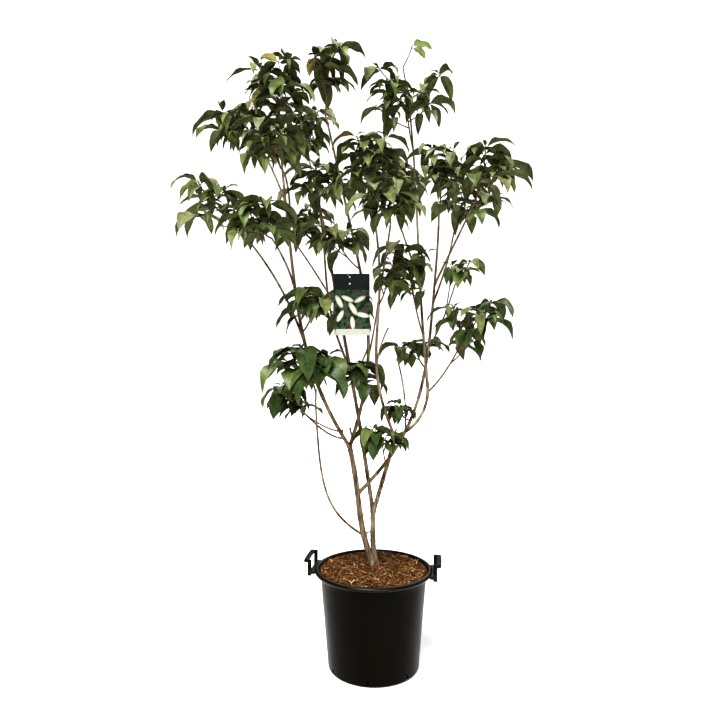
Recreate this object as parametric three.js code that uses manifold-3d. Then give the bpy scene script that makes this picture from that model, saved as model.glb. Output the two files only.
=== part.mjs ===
// Kousa dogwood, several stems, in a black nursery pot with two handles.
// Millimetres, +Z up. The origin is the centre of the flat underside of the pot.
// The front of the plant faces -Y.
import * as THREE from 'three';
import Module from 'manifold-3d';

const wasm = await Module();
wasm.setup();
const { Manifold, Mesh } = wasm;

// Driving sizes of the pot
const POT_HEIGHT = 332;
const POT_RIM_RADIUS = 205;
const POT_BASE_RADIUS = 157;
const POT_NECK_RADIUS = 184;
const POT_WALL = 3;
const POT_LIP_DROP = 15;
const POT_FLOOR = 5;
const POT_SIDES = 32;
const DRAIN_SLOTS = 7;
const DRAIN_SLOT_WIDTH = 7;
const DRAIN_SLOT_HEIGHT = 16;
const DRAIN_SLOT_RISE = 7;

// Driving sizes of the mulch that fills the pot
const MULCH_TOP = 320;
const MULCH_EDGE_DROP = 2;

// Driving sizes of the two handles
const HANDLE_POST_GAP = 110;
const HANDLE_TURN = -7.5;
const HANDLE_TOP = 366;
const HANDLE_BOTTOM = 312;
const HANDLE_POST_WIDTH = 13;
const HANDLE_POST_THICK = 6;
const HANDLE_BOW = 2;
const HANDLE_GRIP_RADIUS = 8;
const HANDLE_GRIP_OUT = 17.5;
const HANDLE_FOOT_DEPTH = 34;
const HANDLE_FOOT_HEIGHT = 12;
const HANDLE_FOOT_OVERHANG = 5;

// Driving sizes of the label and its loop
const LABEL_WIDTH = 130;
const LABEL_HEIGHT = 220;
const LABEL_THICK = 1.2;
const LABEL_CORNER = 5;
const LABEL_CENTRE = [-77, -4, 1252];
const LABEL_HOLE_RADIUS = 3;
const LABEL_HOLE_X = -6;
const LABEL_HOLE_DROP = 12;
const LOOP_WIRE = 0.9;
const LOOP_RISE = 10;
const LOOP_STEPS = 16;
const LOOP_MIDDLE = 0.475;
const LOOP_REACH = 0.645;
const LOOP_HEIGHT = 14.8;
const LOOP_WIDTH = 12;

// Clearance between touching pieces
const GAP = 0.35;
const CUT = GAP + 0.1;

// Leaves and twigs
const LEAF_LENGTH = 112;
const LEAF_WIDTH = 0.46;
const LEAF_THICK = 2.4;
const STEM_RADIUS = 2.8;
const TWIG_RADIUS = 2.2;
const PAIR_STEP = 7;
const LIMB_CLEAR = 6;
const SPACE_CLEAR = 1.2;
const LEAF_TRIES = 6;
const LEAF_RISE = 32;
const TWIG_TURN = 2.39996;
const TWIG_HIGHEST = 0.9;
const TWIG_DROP = 1.7;
const FRUIT_RADIUS = 8;
const FRUIT_FROM_TWIG = [8, -4, 17];

// Limbs. Each one runs from its foot (or from a place on the limb it leaves) to its tip.
// Bow is the sideways bend at half way, sway an S-bend; thick gives foot and tip diameters.
const LIMBS = [
  { name: 'stem_left', foot: [3, 42, MULCH_TOP + GAP], tip: [-85, 0, 755],
    bow: [-9, 4, 0], sway: [-6, 1, 0], thick: [21, 16] },
  { name: 'stem_right', foot: [13, 46, MULCH_TOP + GAP], tip: [0, 35, 520],
    bow: [-7, 3, 0], sway: [-1, 0, 0], thick: [18.5, 15.5] },
  { name: 'bough_middle', from: 'stem_right', at: 0.95, tip: [-200, 60, 1645],
    bow: [6, 60, 0], sway: [2, -4, -1], thick: [14, 7.2] },
  { name: 'bough_right', from: 'stem_right', at: 0.95, tip: [75, -45, 800],
    bow: [2, -5, -2], sway: [0, 2, 1], thick: [14.8, 12.4] },
  { name: 'bough_crossing', from: 'stem_left', at: 0.6, tip: [240, 20, 1585],
    bow: [104, 43, -35], sway: [16, -21, -13], thick: [11.8, 5.6] },
  { name: 'bough_right_upper', from: 'bough_right', at: 0.97, tip: [190, -30, 965],
    bow: [30, -9, -21], sway: [-1, -2, -3], thick: [10.4, 8.4] },
  { name: 'leader', from: 'bough_right_upper', at: 0.98, tip: [135, 110, 2100],
    bow: [5, 29, -4], sway: [-4, 2, -1], thick: [8.4, 4.4] },
  { name: 'bough_centre', from: 'bough_right', at: 0.97, tip: [0, -120, 1555],
    bow: [-24, -7, -8], sway: [-20, -6, -4], thick: [9.2, 5.2] },
  { name: 'bough_left', from: 'stem_left', at: 0.98, tip: [-325, -80, 1820],
    bow: [-60, -43, -23], sway: [-12, -5, -8], thick: [12.6, 5.6] },
  { name: 'bough_centre_left', from: 'stem_left', at: 0.98, tip: [-175, -20, 1950],
    bow: [89, 46, 0], sway: [21, 7, -4], thick: [11.8, 5.2] },
  { name: 'bough_rear_left', from: 'bough_middle', at: 0.45, tip: [-240, 260, 1800],
    bow: [-19, 15, -10], sway: [-14, 3, -5], thick: [8, 4.8] },
  { name: 'bough_far_left', from: 'bough_left', at: 0.36, tip: [-530, -120, 1565],
    bow: [31, 5, 21], sway: [0, -2, -2], thick: [7.2, 4.4] },
  { name: 'bough_front_left', from: 'bough_left', at: 0.52, tip: [-330, -230, 1445],
    bow: [2, 18, 16], sway: [1, 2, 0], thick: [6.4, 4.4] },
  { name: 'bough_rear_side', from: 'bough_middle', at: 0.64, tip: [-295, 230, 1505],
    bow: [0, -10, 5], sway: [0, 1, -1], thick: [6.4, 4.4] },
  { name: 'shoot_low_left', from: 'stem_left', at: 0.26, tip: [-195, -110, 955],
    bow: [-64, -7, -32], sway: [-10, -2, -11], thick: [6, 4.4] },
  { name: 'bough_right_rear', from: 'bough_crossing', at: 0.7, tip: [330, 250, 1565],
    bow: [8, -3, -1], sway: [0, 0, 0], thick: [6.4, 4.4] },
  { name: 'bough_right_outer', from: 'bough_crossing', at: 0.76, tip: [340, -90, 1580],
    bow: [2, 7, 3], sway: [1, 5, 2], thick: [6.8, 4.4] },
  { name: 'bough_upper_left', from: 'bough_left', at: 0.8, tip: [-430, 40, 1865],
    bow: [6, 0, 3], sway: [-1, -3, 1], thick: [5.6, 4.4] },
  { name: 'bough_front_upper', from: 'bough_left', at: 0.69, tip: [-285, -270, 1645],
    bow: [9, 2, 2], sway: [-1, 0, 0], thick: [6, 4.4] },
  { name: 'bough_front_centre', from: 'bough_centre', at: 0.66, tip: [50, -270, 1485],
    bow: [3, 7, 6], sway: [0, 1, 1], thick: [6, 4.4] },
  { name: 'bough_rear_centre', from: 'leader', at: 0.33, tip: [95, 300, 1670],
    bow: [1, 2, -1], sway: [0, 0, 0], thick: [6.8, 4.4] },
];

// Masses of foliage. Each has the limb it leaves, the place along it, its centre, its half
// sizes, its number of twigs and the bearing of its highest twig in degrees. A sprig with
// small leaves gives their share of the usual size, and one that lost a leaf gives its number.
const MASSES = [
  { name: 'leaves_far_left', from: 'bough_far_left', at: 1,
    centre: [-555, -120, 1560], half: [120, 110, 145], twigs: 4, turn: 180 },
  { name: 'leaves_left_front', from: 'bough_front_left', at: 1,
    centre: [-385, -240, 1465], half: [125, 105, 107], twigs: 6, turn: 330 },
  { name: 'leaves_left_rear', from: 'bough_rear_side', at: 1,
    centre: [-290, 250, 1580], half: [125, 110, 112], twigs: 4, turn: 20 },
  { name: 'leaves_upper_left', from: 'bough_upper_left', at: 1,
    centre: [-505, 50, 1895], half: [130, 120, 130], twigs: 6, turn: 10 },
  { name: 'leaves_top_left', from: 'bough_left', at: 1,
    centre: [-335, -80, 1990], half: [152, 120, 130], twigs: 7, turn: 320 },
  { name: 'leaves_top_centre', from: 'bough_centre_left', at: 1,
    centre: [-165, -20, 2095], half: [100, 110, 135], twigs: 5, turn: 20 },
  { name: 'leaves_front_left', from: 'bough_front_upper', at: 1,
    centre: [-330, -290, 1710], half: [110, 110, 115], twigs: 6, turn: 230 },
  { name: 'leaves_rear_left', from: 'bough_rear_left', at: 1,
    centre: [-270, 280, 1970], half: [145, 120, 150], twigs: 5, turn: 20 },
  { name: 'leaves_left_centre', from: 'bough_middle', at: 1,
    centre: [-190, 50, 1680], half: [122, 110, 125], twigs: 5, turn: 120 },
  { name: 'leaves_centre_left', from: 'bough_centre_left', at: 0.53,
    centre: [-135, -70, 1460], half: [115, 90, 85], twigs: 3, turn: 190 },
  { name: 'leaves_centre_upper', from: 'bough_centre', at: 1,
    centre: [-12, -130, 1725], half: [130, 110, 120], twigs: 6, turn: 170 },
  { name: 'leaves_front_centre', from: 'bough_front_centre', at: 1,
    centre: [45, -290, 1530], half: [115, 110, 110], twigs: 5, turn: 300 },
  { name: 'leaves_rear_centre', from: 'bough_rear_centre', at: 1,
    centre: [80, 320, 1780], half: [155, 120, 130], twigs: 4, turn: 60 },
  { name: 'leaves_leader', from: 'leader', at: 0.78,
    centre: [120, 85, 2040], half: [200, 120, 140], twigs: 6, turn: 200 },
  { name: 'leaves_leader_tip', from: 'leader', at: 1,
    centre: [111, 122, 2219], half: [95, 95, 65], twigs: 1, turn: -30, lost: 1 },
  { name: 'leaves_right_inner', from: 'bough_crossing', at: 1,
    centre: [250, -10, 1725], half: [118, 110, 120], twigs: 5, turn: 160 },
  { name: 'leaves_right_outer', from: 'bough_right_outer', at: 1,
    centre: [390, -100, 1700], half: [125, 110, 128], twigs: 5, turn: 120 },
  { name: 'leaves_right_rear', from: 'bough_right_rear', at: 1,
    centre: [390, 270, 1680], half: [160, 120, 140], twigs: 5, turn: 100 },
  { name: 'leaves_right_middle', from: 'leader', at: 0.16,
    centre: [118, -40, 1380], half: [118, 90, 112], twigs: 4, turn: 230 },
  { name: 'leaves_right_low', from: 'bough_right_upper', at: 0.9,
    centre: [360, -20, 1195], half: [135, 100, 88], twigs: 4, turn: 0, leaf: 0.9 },
  { name: 'leaves_right_side', from: 'bough_crossing', at: 0.55,
    centre: [305, -40, 1360], half: [85, 70, 62], twigs: 2, turn: 0, leaf: 0.8 },
  { name: 'leaves_left_low_upper', from: 'bough_left', at: 0.4,
    centre: [-190, -160, 1225], half: [82, 80, 78], twigs: 3, turn: 200 },
  { name: 'leaves_left_low', from: 'shoot_low_left', at: 1,
    centre: [-212, -140, 1005], half: [118, 110, 115], twigs: 5, turn: 240 },
  { name: 'leaves_left_low_outer', from: 'bough_left', at: 0.06,
    centre: [-310, 0, 905], half: [65, 70, 90], twigs: 2, turn: 150, leaf: 0.85 },
  { name: 'leaves_middle_low', from: 'bough_centre_left', at: 0.3,
    centre: [-75, -30, 965], half: [110, 80, 105], twigs: 3, turn: 50, leaf: 0.85 },
  { name: 'leaves_low_fruit', from: 'bough_crossing', at: 0.3,
    centre: [95, -30, 852], half: [65, 60, 60], twigs: 2, turn: 120, leaf: 0.6 },
  { name: 'leaves_lowest', from: 'bough_right', at: 0.6,
    centre: [25, -90, 780], half: [80, 60, 62], twigs: 2, turn: 180, leaf: 0.7 },
  { name: 'leaves_low_right', from: 'bough_crossing', at: 0.48,
    centre: [160, 130, 1080], half: [130, 80, 62], twigs: 2, turn: 0, leaf: 0.7 },
  { name: 'leaves_centre_lower', from: 'bough_centre', at: 0.6,
    centre: [45, -160, 1298], half: [88, 70, 58], twigs: 2, turn: 60, leaf: 0.85 },
  { name: 'leaves_rear_low', from: 'bough_rear_left', at: 0.3,
    centre: [-80, 300, 1250], half: [85, 90, 115], twigs: 3, turn: 150 },
];
const FRUIT_MASS = 'leaves_low_fruit';

// Colours of the surface slots
const SLOT_COLOURS = {
  bark: 0x8a7a66, leaf: 0x4d5a2c, pot_plastic: 0x1b1a17, mulch: 0x7a4e28,
  label_card: 0x2c4034, loop_plastic: 0xd8dcdc,
};

// Small vector sums on arrays of three numbers
const add = (a, b) => [a[0] + b[0], a[1] + b[1], a[2] + b[2]];
const sub = (a, b) => [a[0] - b[0], a[1] - b[1], a[2] - b[2]];
const times = (a, s) => [a[0] * s, a[1] * s, a[2] * s];
const dot = (a, b) => a[0] * b[0] + a[1] * b[1] + a[2] * b[2];
const size = (a) => Math.sqrt(dot(a, a));
const unit = (a) => times(a, 1 / size(a));
const mix = (a, b, t) => add(times(a, 1 - t), times(b, t));
const cross = (a, b) => [
  a[1] * b[2] - a[2] * b[1], a[2] * b[0] - a[0] * b[2], a[0] * b[1] - a[1] * b[0],
];

// A repeatable number between 0 and 1 for a mass, a twig and a use
function dice(mass, twig, use) {
  const value = Math.sin(mass * 12.9898 + twig * 78.233 + use * 37.719) * 43758.5453;
  return value - Math.floor(value);
}

function solidFrom(points, triangles) {
  return new Manifold(new Mesh({
    numProp: 3,
    vertProperties: new Float32Array(points.flat()),
    triVerts: new Uint32Array(triangles.flat()),
  }));
}

function geometryFrom(solid) {
  const mesh = solid.getMesh();
  const geometry = new THREE.BufferGeometry();
  const places = new Float32Array(mesh.vertProperties);
  geometry.setAttribute('position', new THREE.BufferAttribute(places, 3));
  geometry.setIndex(new THREE.BufferAttribute(new Uint32Array(mesh.triVerts), 1));
  geometry.computeVertexNormals();
  return geometry;
}

function solidFromGeometry(geometry) {
  const flat = geometry.index ? geometry.toNonIndexed() : geometry;
  const position = flat.getAttribute('position');
  const points = [];
  const triangles = [];
  const known = new Map();
  for (let i = 0; i < position.count; i += 1) {
    const point = [position.getX(i), position.getY(i), position.getZ(i)];
    const key = point.map((value) => Math.round(value * 10000)).join(' ');
    if (!known.has(key)) {
      known.set(key, points.length);
      points.push(point);
    }
    if (i % 3 === 0) triangles.push([]);
    triangles[triangles.length - 1].push(known.get(key));
  }
  return solidFrom(points, triangles.filter(([a, b, c]) => a !== b && b !== c && c !== a));
}

// The biggest closed piece of a solid: a sealed hollow is filled, a loose scrap is dropped
function largestPiece(solid) {
  const pieces = solid.decompose();
  return pieces.reduce((best, piece) => (piece.volume() > best.volume() ? piece : best));
}

// A closed tube through points with a radius at each, its ring standing square to its run
function tube(points, radii, sides, levelFoot) {
  const run = unit(sub(points[points.length - 1], points[0]));
  const guide = Math.abs(run[1]) > 0.8 ? [1, 0, 0] : [0, 1, 0];
  const rings = [];
  points.forEach((point, i) => {
    const before = points[Math.max(i - 1, 0)];
    const after = points[Math.min(i + 1, points.length - 1)];
    const along = unit(sub(after, before));
    const across = unit(cross(guide, along));
    const over = cross(along, across);
    for (let k = 0; k < sides; k += 1) {
      const angle = (2 * Math.PI * k) / sides;
      let corner = add(point, add(
        times(across, radii[i] * Math.cos(angle)), times(over, radii[i] * Math.sin(angle)),
      ));
      if (levelFoot && i === 0) {
        corner = add(corner, times(along, (point[2] - corner[2]) / along[2]));
      }
      rings.push(corner);
    }
  });
  const triangles = [];
  for (let i = 0; i < points.length - 1; i += 1) {
    for (let k = 0; k < sides; k += 1) {
      const a = i * sides + k;
      const b = i * sides + ((k + 1) % sides);
      triangles.push([a, b, b + sides], [a, b + sides, a + sides]);
    }
  }
  const last = (points.length - 1) * sides;
  for (let k = 1; k < sides - 1; k += 1) {
    triangles.push([0, k + 1, k], [last, last + k, last + k + 1]);
  }
  return solidFrom(rings, triangles);
}

// Limb curve: a straight run with a bow and an S-bend added
const limbByName = {};
LIMBS.forEach((limb) => {
  limbByName[limb.name] = limb;
  if (limb.from) limb.foot = limbPoint(limbByName[limb.from], limb.at);
  limb.length = size(sub(limb.tip, limb.foot));
});

function limbPoint(limb, t) {
  const straight = mix(limb.foot, limb.tip, t);
  const bowed = add(straight, times(limb.bow, 4 * t * (1 - t)));
  return add(bowed, times(limb.sway, Math.sin(2 * Math.PI * t)));
}

// The foot of a stem swells into the root flare over its lowest 45 mm
function limbRadius(limb, t) {
  const plain = (limb.thick[0] + (limb.thick[1] - limb.thick[0]) * t) / 2;
  const flare = limb.from ? 0 : 6 * Math.exp((-t * limb.length) / 14);
  return plain + flare;
}

function limbSides(limb) {
  if (limb.thick[0] > 15) return 9;
  return limb.thick[0] > 8 ? 6 : 5;
}

function limbTube(limb, extra) {
  const rings = Math.max(3, Math.round(limb.length / 85));
  const places = [];
  if (!limb.from) places.push(0, 0.02, 0.06, 0.13);
  for (let i = limb.from ? 0 : 1; i <= rings; i += 1) places.push(i / rings);
  places.sort((a, b) => a - b);
  const points = places.map((t) => limbPoint(limb, t));
  const radii = places.map((t) => limbRadius(limb, t) + extra);
  if (extra > 0) {
    const ahead = unit(sub(points[points.length - 1], points[points.length - 2]));
    points[points.length - 1] = add(points[points.length - 1], times(ahead, extra));
    const back = unit(sub(points[1], points[0]));
    points[0] = sub(points[0], times(back, extra));
  }
  return tube(points, radii, limbSides(limb), !limb.from);
}

function boxesMeet(a, b) {
  const first = a.boundingBox();
  const second = b.boundingBox();
  return [0, 1, 2].every((i) => first.min[i] < second.max[i] && second.min[i] < first.max[i]);
}

// Each limb is cut back to a small clearance from the limbs made before it
const limbSolids = [];
const limbSpaces = [];
LIMBS.forEach((limb) => {
  let solid = limbTube(limb, 0);
  limbSpaces.forEach((space) => {
    if (boxesMeet(solid, space)) solid = solid.subtract(space);
  });
  limbSolids.push(largestPiece(solid));
  limbSpaces.push(limbTube(limb, CUT));
});

// Points along every limb and every foliage stem, which leaves keep away from
const obstacles = [];
LIMBS.forEach((limb) => {
  const count = Math.ceil(limb.length / 12);
  for (let i = 0; i <= count; i += 1) {
    const t = i / count;
    obstacles.push({ point: limbPoint(limb, t), radius: limbRadius(limb, t), owner: limb.name });
  }
});

// The main stem of a mass rises from its limb to just above the centre of the mass
MASSES.forEach((mass, m) => {
  const limb = limbByName[mass.from];
  const foot = limbPoint(limb, mass.at === 1 ? 0.985 : mass.at);
  const head = add(mass.centre, [0, 0, 0.3 * mass.half[2]]);
  const reach = size(sub(head, foot));
  const lift = [0, 0, -0.1 * reach];
  mass.stemPoints = [0, 1 / 3, 2 / 3, 1].map((t) => (
    add(mix(foot, head, t), times(lift, 4 * t * (1 - t)))
  ));
  mass.stem = (t) => {
    const run = Math.min(Math.floor(3 * t), 2);
    return mix(mass.stemPoints[run], mass.stemPoints[run + 1], 3 * t - run);
  };
  mass.spread = (mass.half[0] + mass.half[1] + mass.half[2]) / 3;
  mass.inner = [
    Math.max(24, mass.half[0] - 50), Math.max(24, mass.half[1] - 50), Math.max(16, mass.half[2] - 40),
  ];
  const count = Math.ceil(reach / 12);
  for (let i = 0; i <= count; i += 1) {
    obstacles.push({ point: mass.stem(i / count), radius: STEM_RADIUS, owner: m });
  }
});

// True while a point stays in the space of mass m: nearer to it than to any other mass
function inSpace(point, m) {
  const own = MASSES[m];
  const power = (mass) => {
    const away = sub(point, mass.centre);
    return dot(away, away) - mass.spread * mass.spread;
  };
  const ownPower = power(own);
  return MASSES.every((mass, i) => {
    if (i === m) return true;
    return power(mass) - ownPower > 2 * SPACE_CLEAR * size(sub(mass.centre, own.centre));
  });
}

function clearOfLimbs(point, m, near) {
  return obstacles.every((item) => {
    if (item.owner === m) return true;
    return size(sub(point, item.point)) > item.radius + near;
  });
}

// A leaf blade from a node on its twig: widest at two fifths of its length, with a keel
// for a midrib, and drooping beyond the middle
function leafCorners(node, heading, length, droop) {
  const side = unit(cross([0, 0, 1], heading));
  const over = cross(heading, side);
  const bend = [heading[0] * Math.cos(droop), heading[1] * Math.cos(droop), heading[2]];
  bend[2] -= Math.sin(droop);
  const hang = unit(bend);
  const middle = add(node, times(heading, 0.42 * length));
  const half = (length * LEAF_WIDTH) / 2;
  const fold = times(over, LEAF_THICK / 2);
  return {
    root: node,
    tip: add(middle, times(hang, 0.58 * length)),
    left: add(add(middle, times(side, half)), fold),
    right: add(sub(middle, times(side, half)), fold),
    keel: sub(middle, fold),
  };
}

function leafFits(leaf, m) {
  const { root, tip, left, right, keel } = leaf;
  if (![tip, left, right, keel].every((corner) => inSpace(corner, m))) return false;
  const samples = [left, right, keel];
  for (let i = 2; i <= 8; i += 1) {
    const t = i / 8;
    [keel, left, right].forEach((corner) => {
      samples.push(t < 0.5 ? mix(root, corner, t * 2) : mix(corner, tip, t * 2 - 1));
    });
  }
  return samples.every((sample) => clearOfLimbs(sample, m, LIMB_CLEAR));
}

// True where the line from p to q passes through the triangle a, b, c
function pierces(p, q, [a, b, c]) {
  const side = (u, v, w, x) => dot(cross(sub(v, u), sub(w, u)), sub(x, u));
  if (side(a, b, c, p) * side(a, b, c, q) >= 0) return false;
  const turns = [side(p, q, a, b), side(p, q, b, c), side(p, q, c, a)];
  return turns.every((value) => value > 0) || turns.every((value) => value < 0);
}

const bladeFaces = (leaf) => [
  [leaf.root, leaf.left, leaf.right], [leaf.tip, leaf.left, leaf.right],
];
const bladeEdges = (leaf) => [
  [leaf.root, leaf.left], [leaf.root, leaf.right], [leaf.tip, leaf.left], [leaf.tip, leaf.right],
  [leaf.left, leaf.right],
];
const edgesMeetFaces = (edges, faces) => (
  edges.some(([p, q]) => faces.some((face) => pierces(p, q, face)))
);

// A leaf may not cut through wood of its mass or through a leaf grown before it
function crossesOthers(leaf, wood, leaves) {
  if (edgesMeetFaces(wood, bladeFaces(leaf))) return true;
  return leaves.some((other) => edgesMeetFaces(bladeEdges(leaf), bladeFaces(other))
    || edgesMeetFaces(bladeEdges(other), bladeFaces(leaf)));
}

// Twigs of one mass: tips spread evenly through its space, each leaving the stem lower down
function growTwigs(m) {
  const mass = MASSES[m];
  const turn = (mass.turn * Math.PI) / 180;
  const twigs = [];
  for (let k = 0; k < mass.twigs; k += 1) {
    const rank = (k + 0.5) / mass.twigs;
    const height = TWIG_HIGHEST - TWIG_DROP * rank;
    const azimuth = turn + TWIG_TURN * k;
    const wide = Math.sqrt(Math.max(0, 1 - height * height)) * (0.8 + 0.4 * dice(m, k, 1));
    const tip = add(mass.centre, [
      mass.inner[0] * wide * Math.cos(azimuth),
      mass.inner[1] * wide * Math.sin(azimuth),
      mass.inner[2] * height + LEAF_RISE,
    ]);
    const start = mass.stem(1 - 0.6 * rank);
    const length = size(sub(tip, start));
    const middle = add(mix(start, tip, 0.55), [0, 0, -0.08 * length]);
    const away = unit(sub(tip, middle));
    const run = sub(tip, start);
    const guide = Math.abs(run[1]) > 0.8 * length ? [1, 0, 0] : [0, 1, 0];
    const across = unit(cross(guide, away));
    const over = cross(away, across);
    const straight = size(sub(tip, middle));
    if (straight < 2 * PAIR_STEP + 2) continue;
    if (![middle, tip].every((point) => inSpace(point, m) && clearOfLimbs(point, m, 5))) continue;
    twigs.push({
      k, start, middle, tip, away, across, over, pairs: straight < 4 * PAIR_STEP ? 2 : 3, leaves: [],
    });
  }
  return twigs;
}

// Leaf j of a twig: two crossed pairs at the tip and, on a long twig, a pair at its bend.
// Each further try turns the leaf a little. It grows on the side of the twig it faces.
function leafOnTwig(m, twig, j, attempt) {
  const facing = Math.atan2(twig.away[1], twig.away[0]);
  const pair = Math.floor(j / 2);
  const quarter = [0.25, 0.75, 0.5][pair] + (j % 2);
  const use = 10 + j + 100 * attempt;
  const around = facing + Math.PI * quarter + (0.7 + 0.5 * attempt) * (dice(m, twig.k, use) - 0.5);
  const pitch = 0.05 - 0.55 * dice(m, twig.k, use + 10);
  const heading = [
    Math.cos(pitch) * Math.cos(around), Math.cos(pitch) * Math.sin(around), Math.sin(pitch),
  ];
  const down = PAIR_STEP * (pair + 0.5);
  const node = pair === 2
    ? add(twig.middle, times(twig.away, PAIR_STEP / 2))
    : sub(twig.tip, times(twig.away, down));
  const taken = twig.leaves.filter((leaf) => leaf.pair === pair).map((leaf) => leaf.side);
  const facings = [0, 1, 2].map((k) => {
    const angle = ((2 * k + 1) * Math.PI) / 3;
    const normal = add(times(twig.across, Math.cos(angle)), times(twig.over, Math.sin(angle)));
    return taken.includes(k) ? -1 : dot(normal, heading);
  });
  const best = Math.max(...facings);
  if (best < 0.3) return null;
  const usual = LEAF_LENGTH * (MASSES[m].leaf ?? 1);
  const long = usual * (0.8 + 0.4 * dice(m, twig.k, use + 20));
  const leaf = leafCorners(node, heading, long, 0.4 + 0.5 * dice(m, twig.k, use + 30));
  return { ...leaf, heading, pair, side: facings.indexOf(best) };
}

function growMass(m) {
  const { stemPoints } = MASSES[m];
  const twigs = growTwigs(m);
  const stemRuns = [0, 1, 2].map((i) => [stemPoints[i], stemPoints[i + 1]]);
  const leaves = [];
  twigs.forEach((twig) => {
    const wood = [...stemRuns, [twig.start, twig.middle]];
    twigs.filter((other) => other !== twig).forEach((other) => {
      wood.push([other.start, other.middle], [other.middle, other.tip]);
    });
    for (let j = 0; j < 2 * twig.pairs; j += 1) {
      if (j === MASSES[m].lost) continue;
      for (let attempt = 0; attempt < LEAF_TRIES; attempt += 1) {
        const leaf = leafOnTwig(m, twig, j, attempt);
        if (leaf && leafFits(leaf, m) && !crossesOthers(leaf, wood, leaves)) {
          leaves.push(leaf);
          twig.leaves.push(leaf);
          break;
        }
      }
    }
  });
  return { stemPoints, twigs, leaves };
}

// Triangles of a band between a loop of four and a loop of three corners that turn the
// same way, in the position with the least twist
function bandBetween(points, four, three) {
  const gap = (a, b) => size(sub(points[a], points[b]));
  let best = null;
  for (let turn = 0; turn < 12; turn += 1) {
    const inner = (i) => four[(i + turn) % 4];
    const outer = (i) => three[(i + Math.floor(turn / 4)) % 3];
    const band = [];
    let total = 0;
    for (let i = 0; i < 4; i += 1) {
      const j = i % 3;
      const at = i === 3 ? outer(0) : outer(j);
      band.push([inner(i), inner(i + 1), at]);
      if (i < 3) band.push([inner(i + 1), outer(j + 1), at]);
      total += gap(inner(i), at) + gap(inner(i + 1), at);
    }
    if (!best || total < best.total) best = { total, band };
  }
  return best.band;
}

// A three-sided twig with its leaves grown out of its sides as one closed skin
function twigSolid(twig) {
  const { start, middle, tip, away, across, over } = twig;
  const stations = [start, middle];
  if (twig.pairs === 3) stations.push(add(middle, times(away, PAIR_STEP)));
  stations.push(sub(tip, times(away, 2 * PAIR_STEP)), sub(tip, times(away, PAIR_STEP)), tip);
  const points = [];
  stations.forEach((station) => {
    for (let k = 0; k < 3; k += 1) {
      const angle = (2 * Math.PI * k) / 3;
      points.push(add(station, add(
        times(across, TWIG_RADIUS * Math.cos(angle)), times(over, TWIG_RADIUS * Math.sin(angle)),
      )));
    }
  });
  const last = stations.length - 1;
  const triangles = [[0, 2, 1], [3 * last, 3 * last + 1, 3 * last + 2]];
  for (let i = 0; i < last; i += 1) {
    for (let k = 0; k < 3; k += 1) {
      const next = (k + 1) % 3;
      const loop = [3 * i + k, 3 * i + next, 3 * i + 3 + next, 3 * i + 3 + k];
      const pair = { [last - 1]: 0, [last - 2]: 1, 1: 2 }[i];
      const leaf = twig.leaves.find((item) => item.pair === pair && item.side === k);
      if (!leaf || (pair === 2 && twig.pairs < 3)) {
        triangles.push([loop[0], loop[1], loop[2]], [loop[0], loop[2], loop[3]]);
        continue;
      }
      const base = points.length;
      points.push(leaf.left, leaf.right, leaf.keel, leaf.tip);
      const turn = cross(sub(leaf.right, leaf.left), sub(leaf.keel, leaf.left));
      const ring = dot(turn, leaf.heading) > 0 ? [base, base + 1, base + 2] : [base, base + 2, base + 1];
      triangles.push(...bandBetween(points, loop, ring));
      ring.forEach((corner, c) => triangles.push([corner, ring[(c + 1) % 3], base + 3]));
    }
  }
  return solidFrom(points, triangles);
}

function massSolid(m) {
  const grown = growMass(m);
  const parts = [tube(grown.stemPoints, [1, 0.95, 0.9, 0.85].map((f) => f * STEM_RADIUS), 3, false)];
  grown.twigs.forEach((twig) => parts.push(twigSolid(twig)));
  if (MASSES[m].name === FRUIT_MASS && grown.twigs.length) {
    parts.push(fruitSolid(grown.twigs[0].tip));
  }
  let solid = parts.reduce((sum, part) => sum.add(part));
  limbSpaces.forEach((space) => {
    if (boxesMeet(solid, space)) solid = solid.subtract(space);
  });
  return largestPiece(solid);
}

// One small round green fruit on a rising stalk
function fruitSolid(node) {
  const centre = add(node, FRUIT_FROM_TWIG);
  const stalk = tube([sub(node, [0, 0, 2]), mix(node, centre, 0.6), centre], [1.5, 1.4, 1.3], 3, false);
  const ball = new THREE.IcosahedronGeometry(FRUIT_RADIUS, 1);
  ball.translate(...centre);
  return stalk.add(solidFromGeometry(ball));
}

// Solid of revolution about the pot's axis. Its profile of [radius, height] closes on the axis.
function turned(profile, sides) {
  const geometry = new THREE.LatheGeometry(profile.map(([r, z]) => new THREE.Vector2(r, z)), sides);
  geometry.rotateX(Math.PI / 2);
  return solidFromGeometry(geometry);
}

const POT_NECK = POT_HEIGHT - POT_LIP_DROP;
const POT_OUTSIDE = [
  [0, 0], [POT_BASE_RADIUS - 8, 0], [POT_BASE_RADIUS, 9], [POT_NECK_RADIUS, POT_NECK - 4],
  [POT_RIM_RADIUS - 1, POT_NECK], [POT_RIM_RADIUS, POT_HEIGHT - 3], [POT_RIM_RADIUS - 3, POT_HEIGHT],
];

const POT_INSIDE = [
  [POT_RIM_RADIUS - 12, POT_HEIGHT], [POT_NECK_RADIUS + 3, POT_HEIGHT - 12],
  [POT_NECK_RADIUS - POT_WALL, POT_HEIGHT - 28],
  [POT_BASE_RADIUS - POT_WALL - 3, POT_FLOOR], [0, POT_FLOOR],
];

// A box stood at a distance out from the axis, turned about it
function boxAt(sizes, centre, turn) {
  const geometry = new THREE.BoxGeometry(...sizes);
  geometry.translate(...centre);
  if (turn) geometry.rotateZ(turn);
  return solidFromGeometry(geometry);
}

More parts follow.
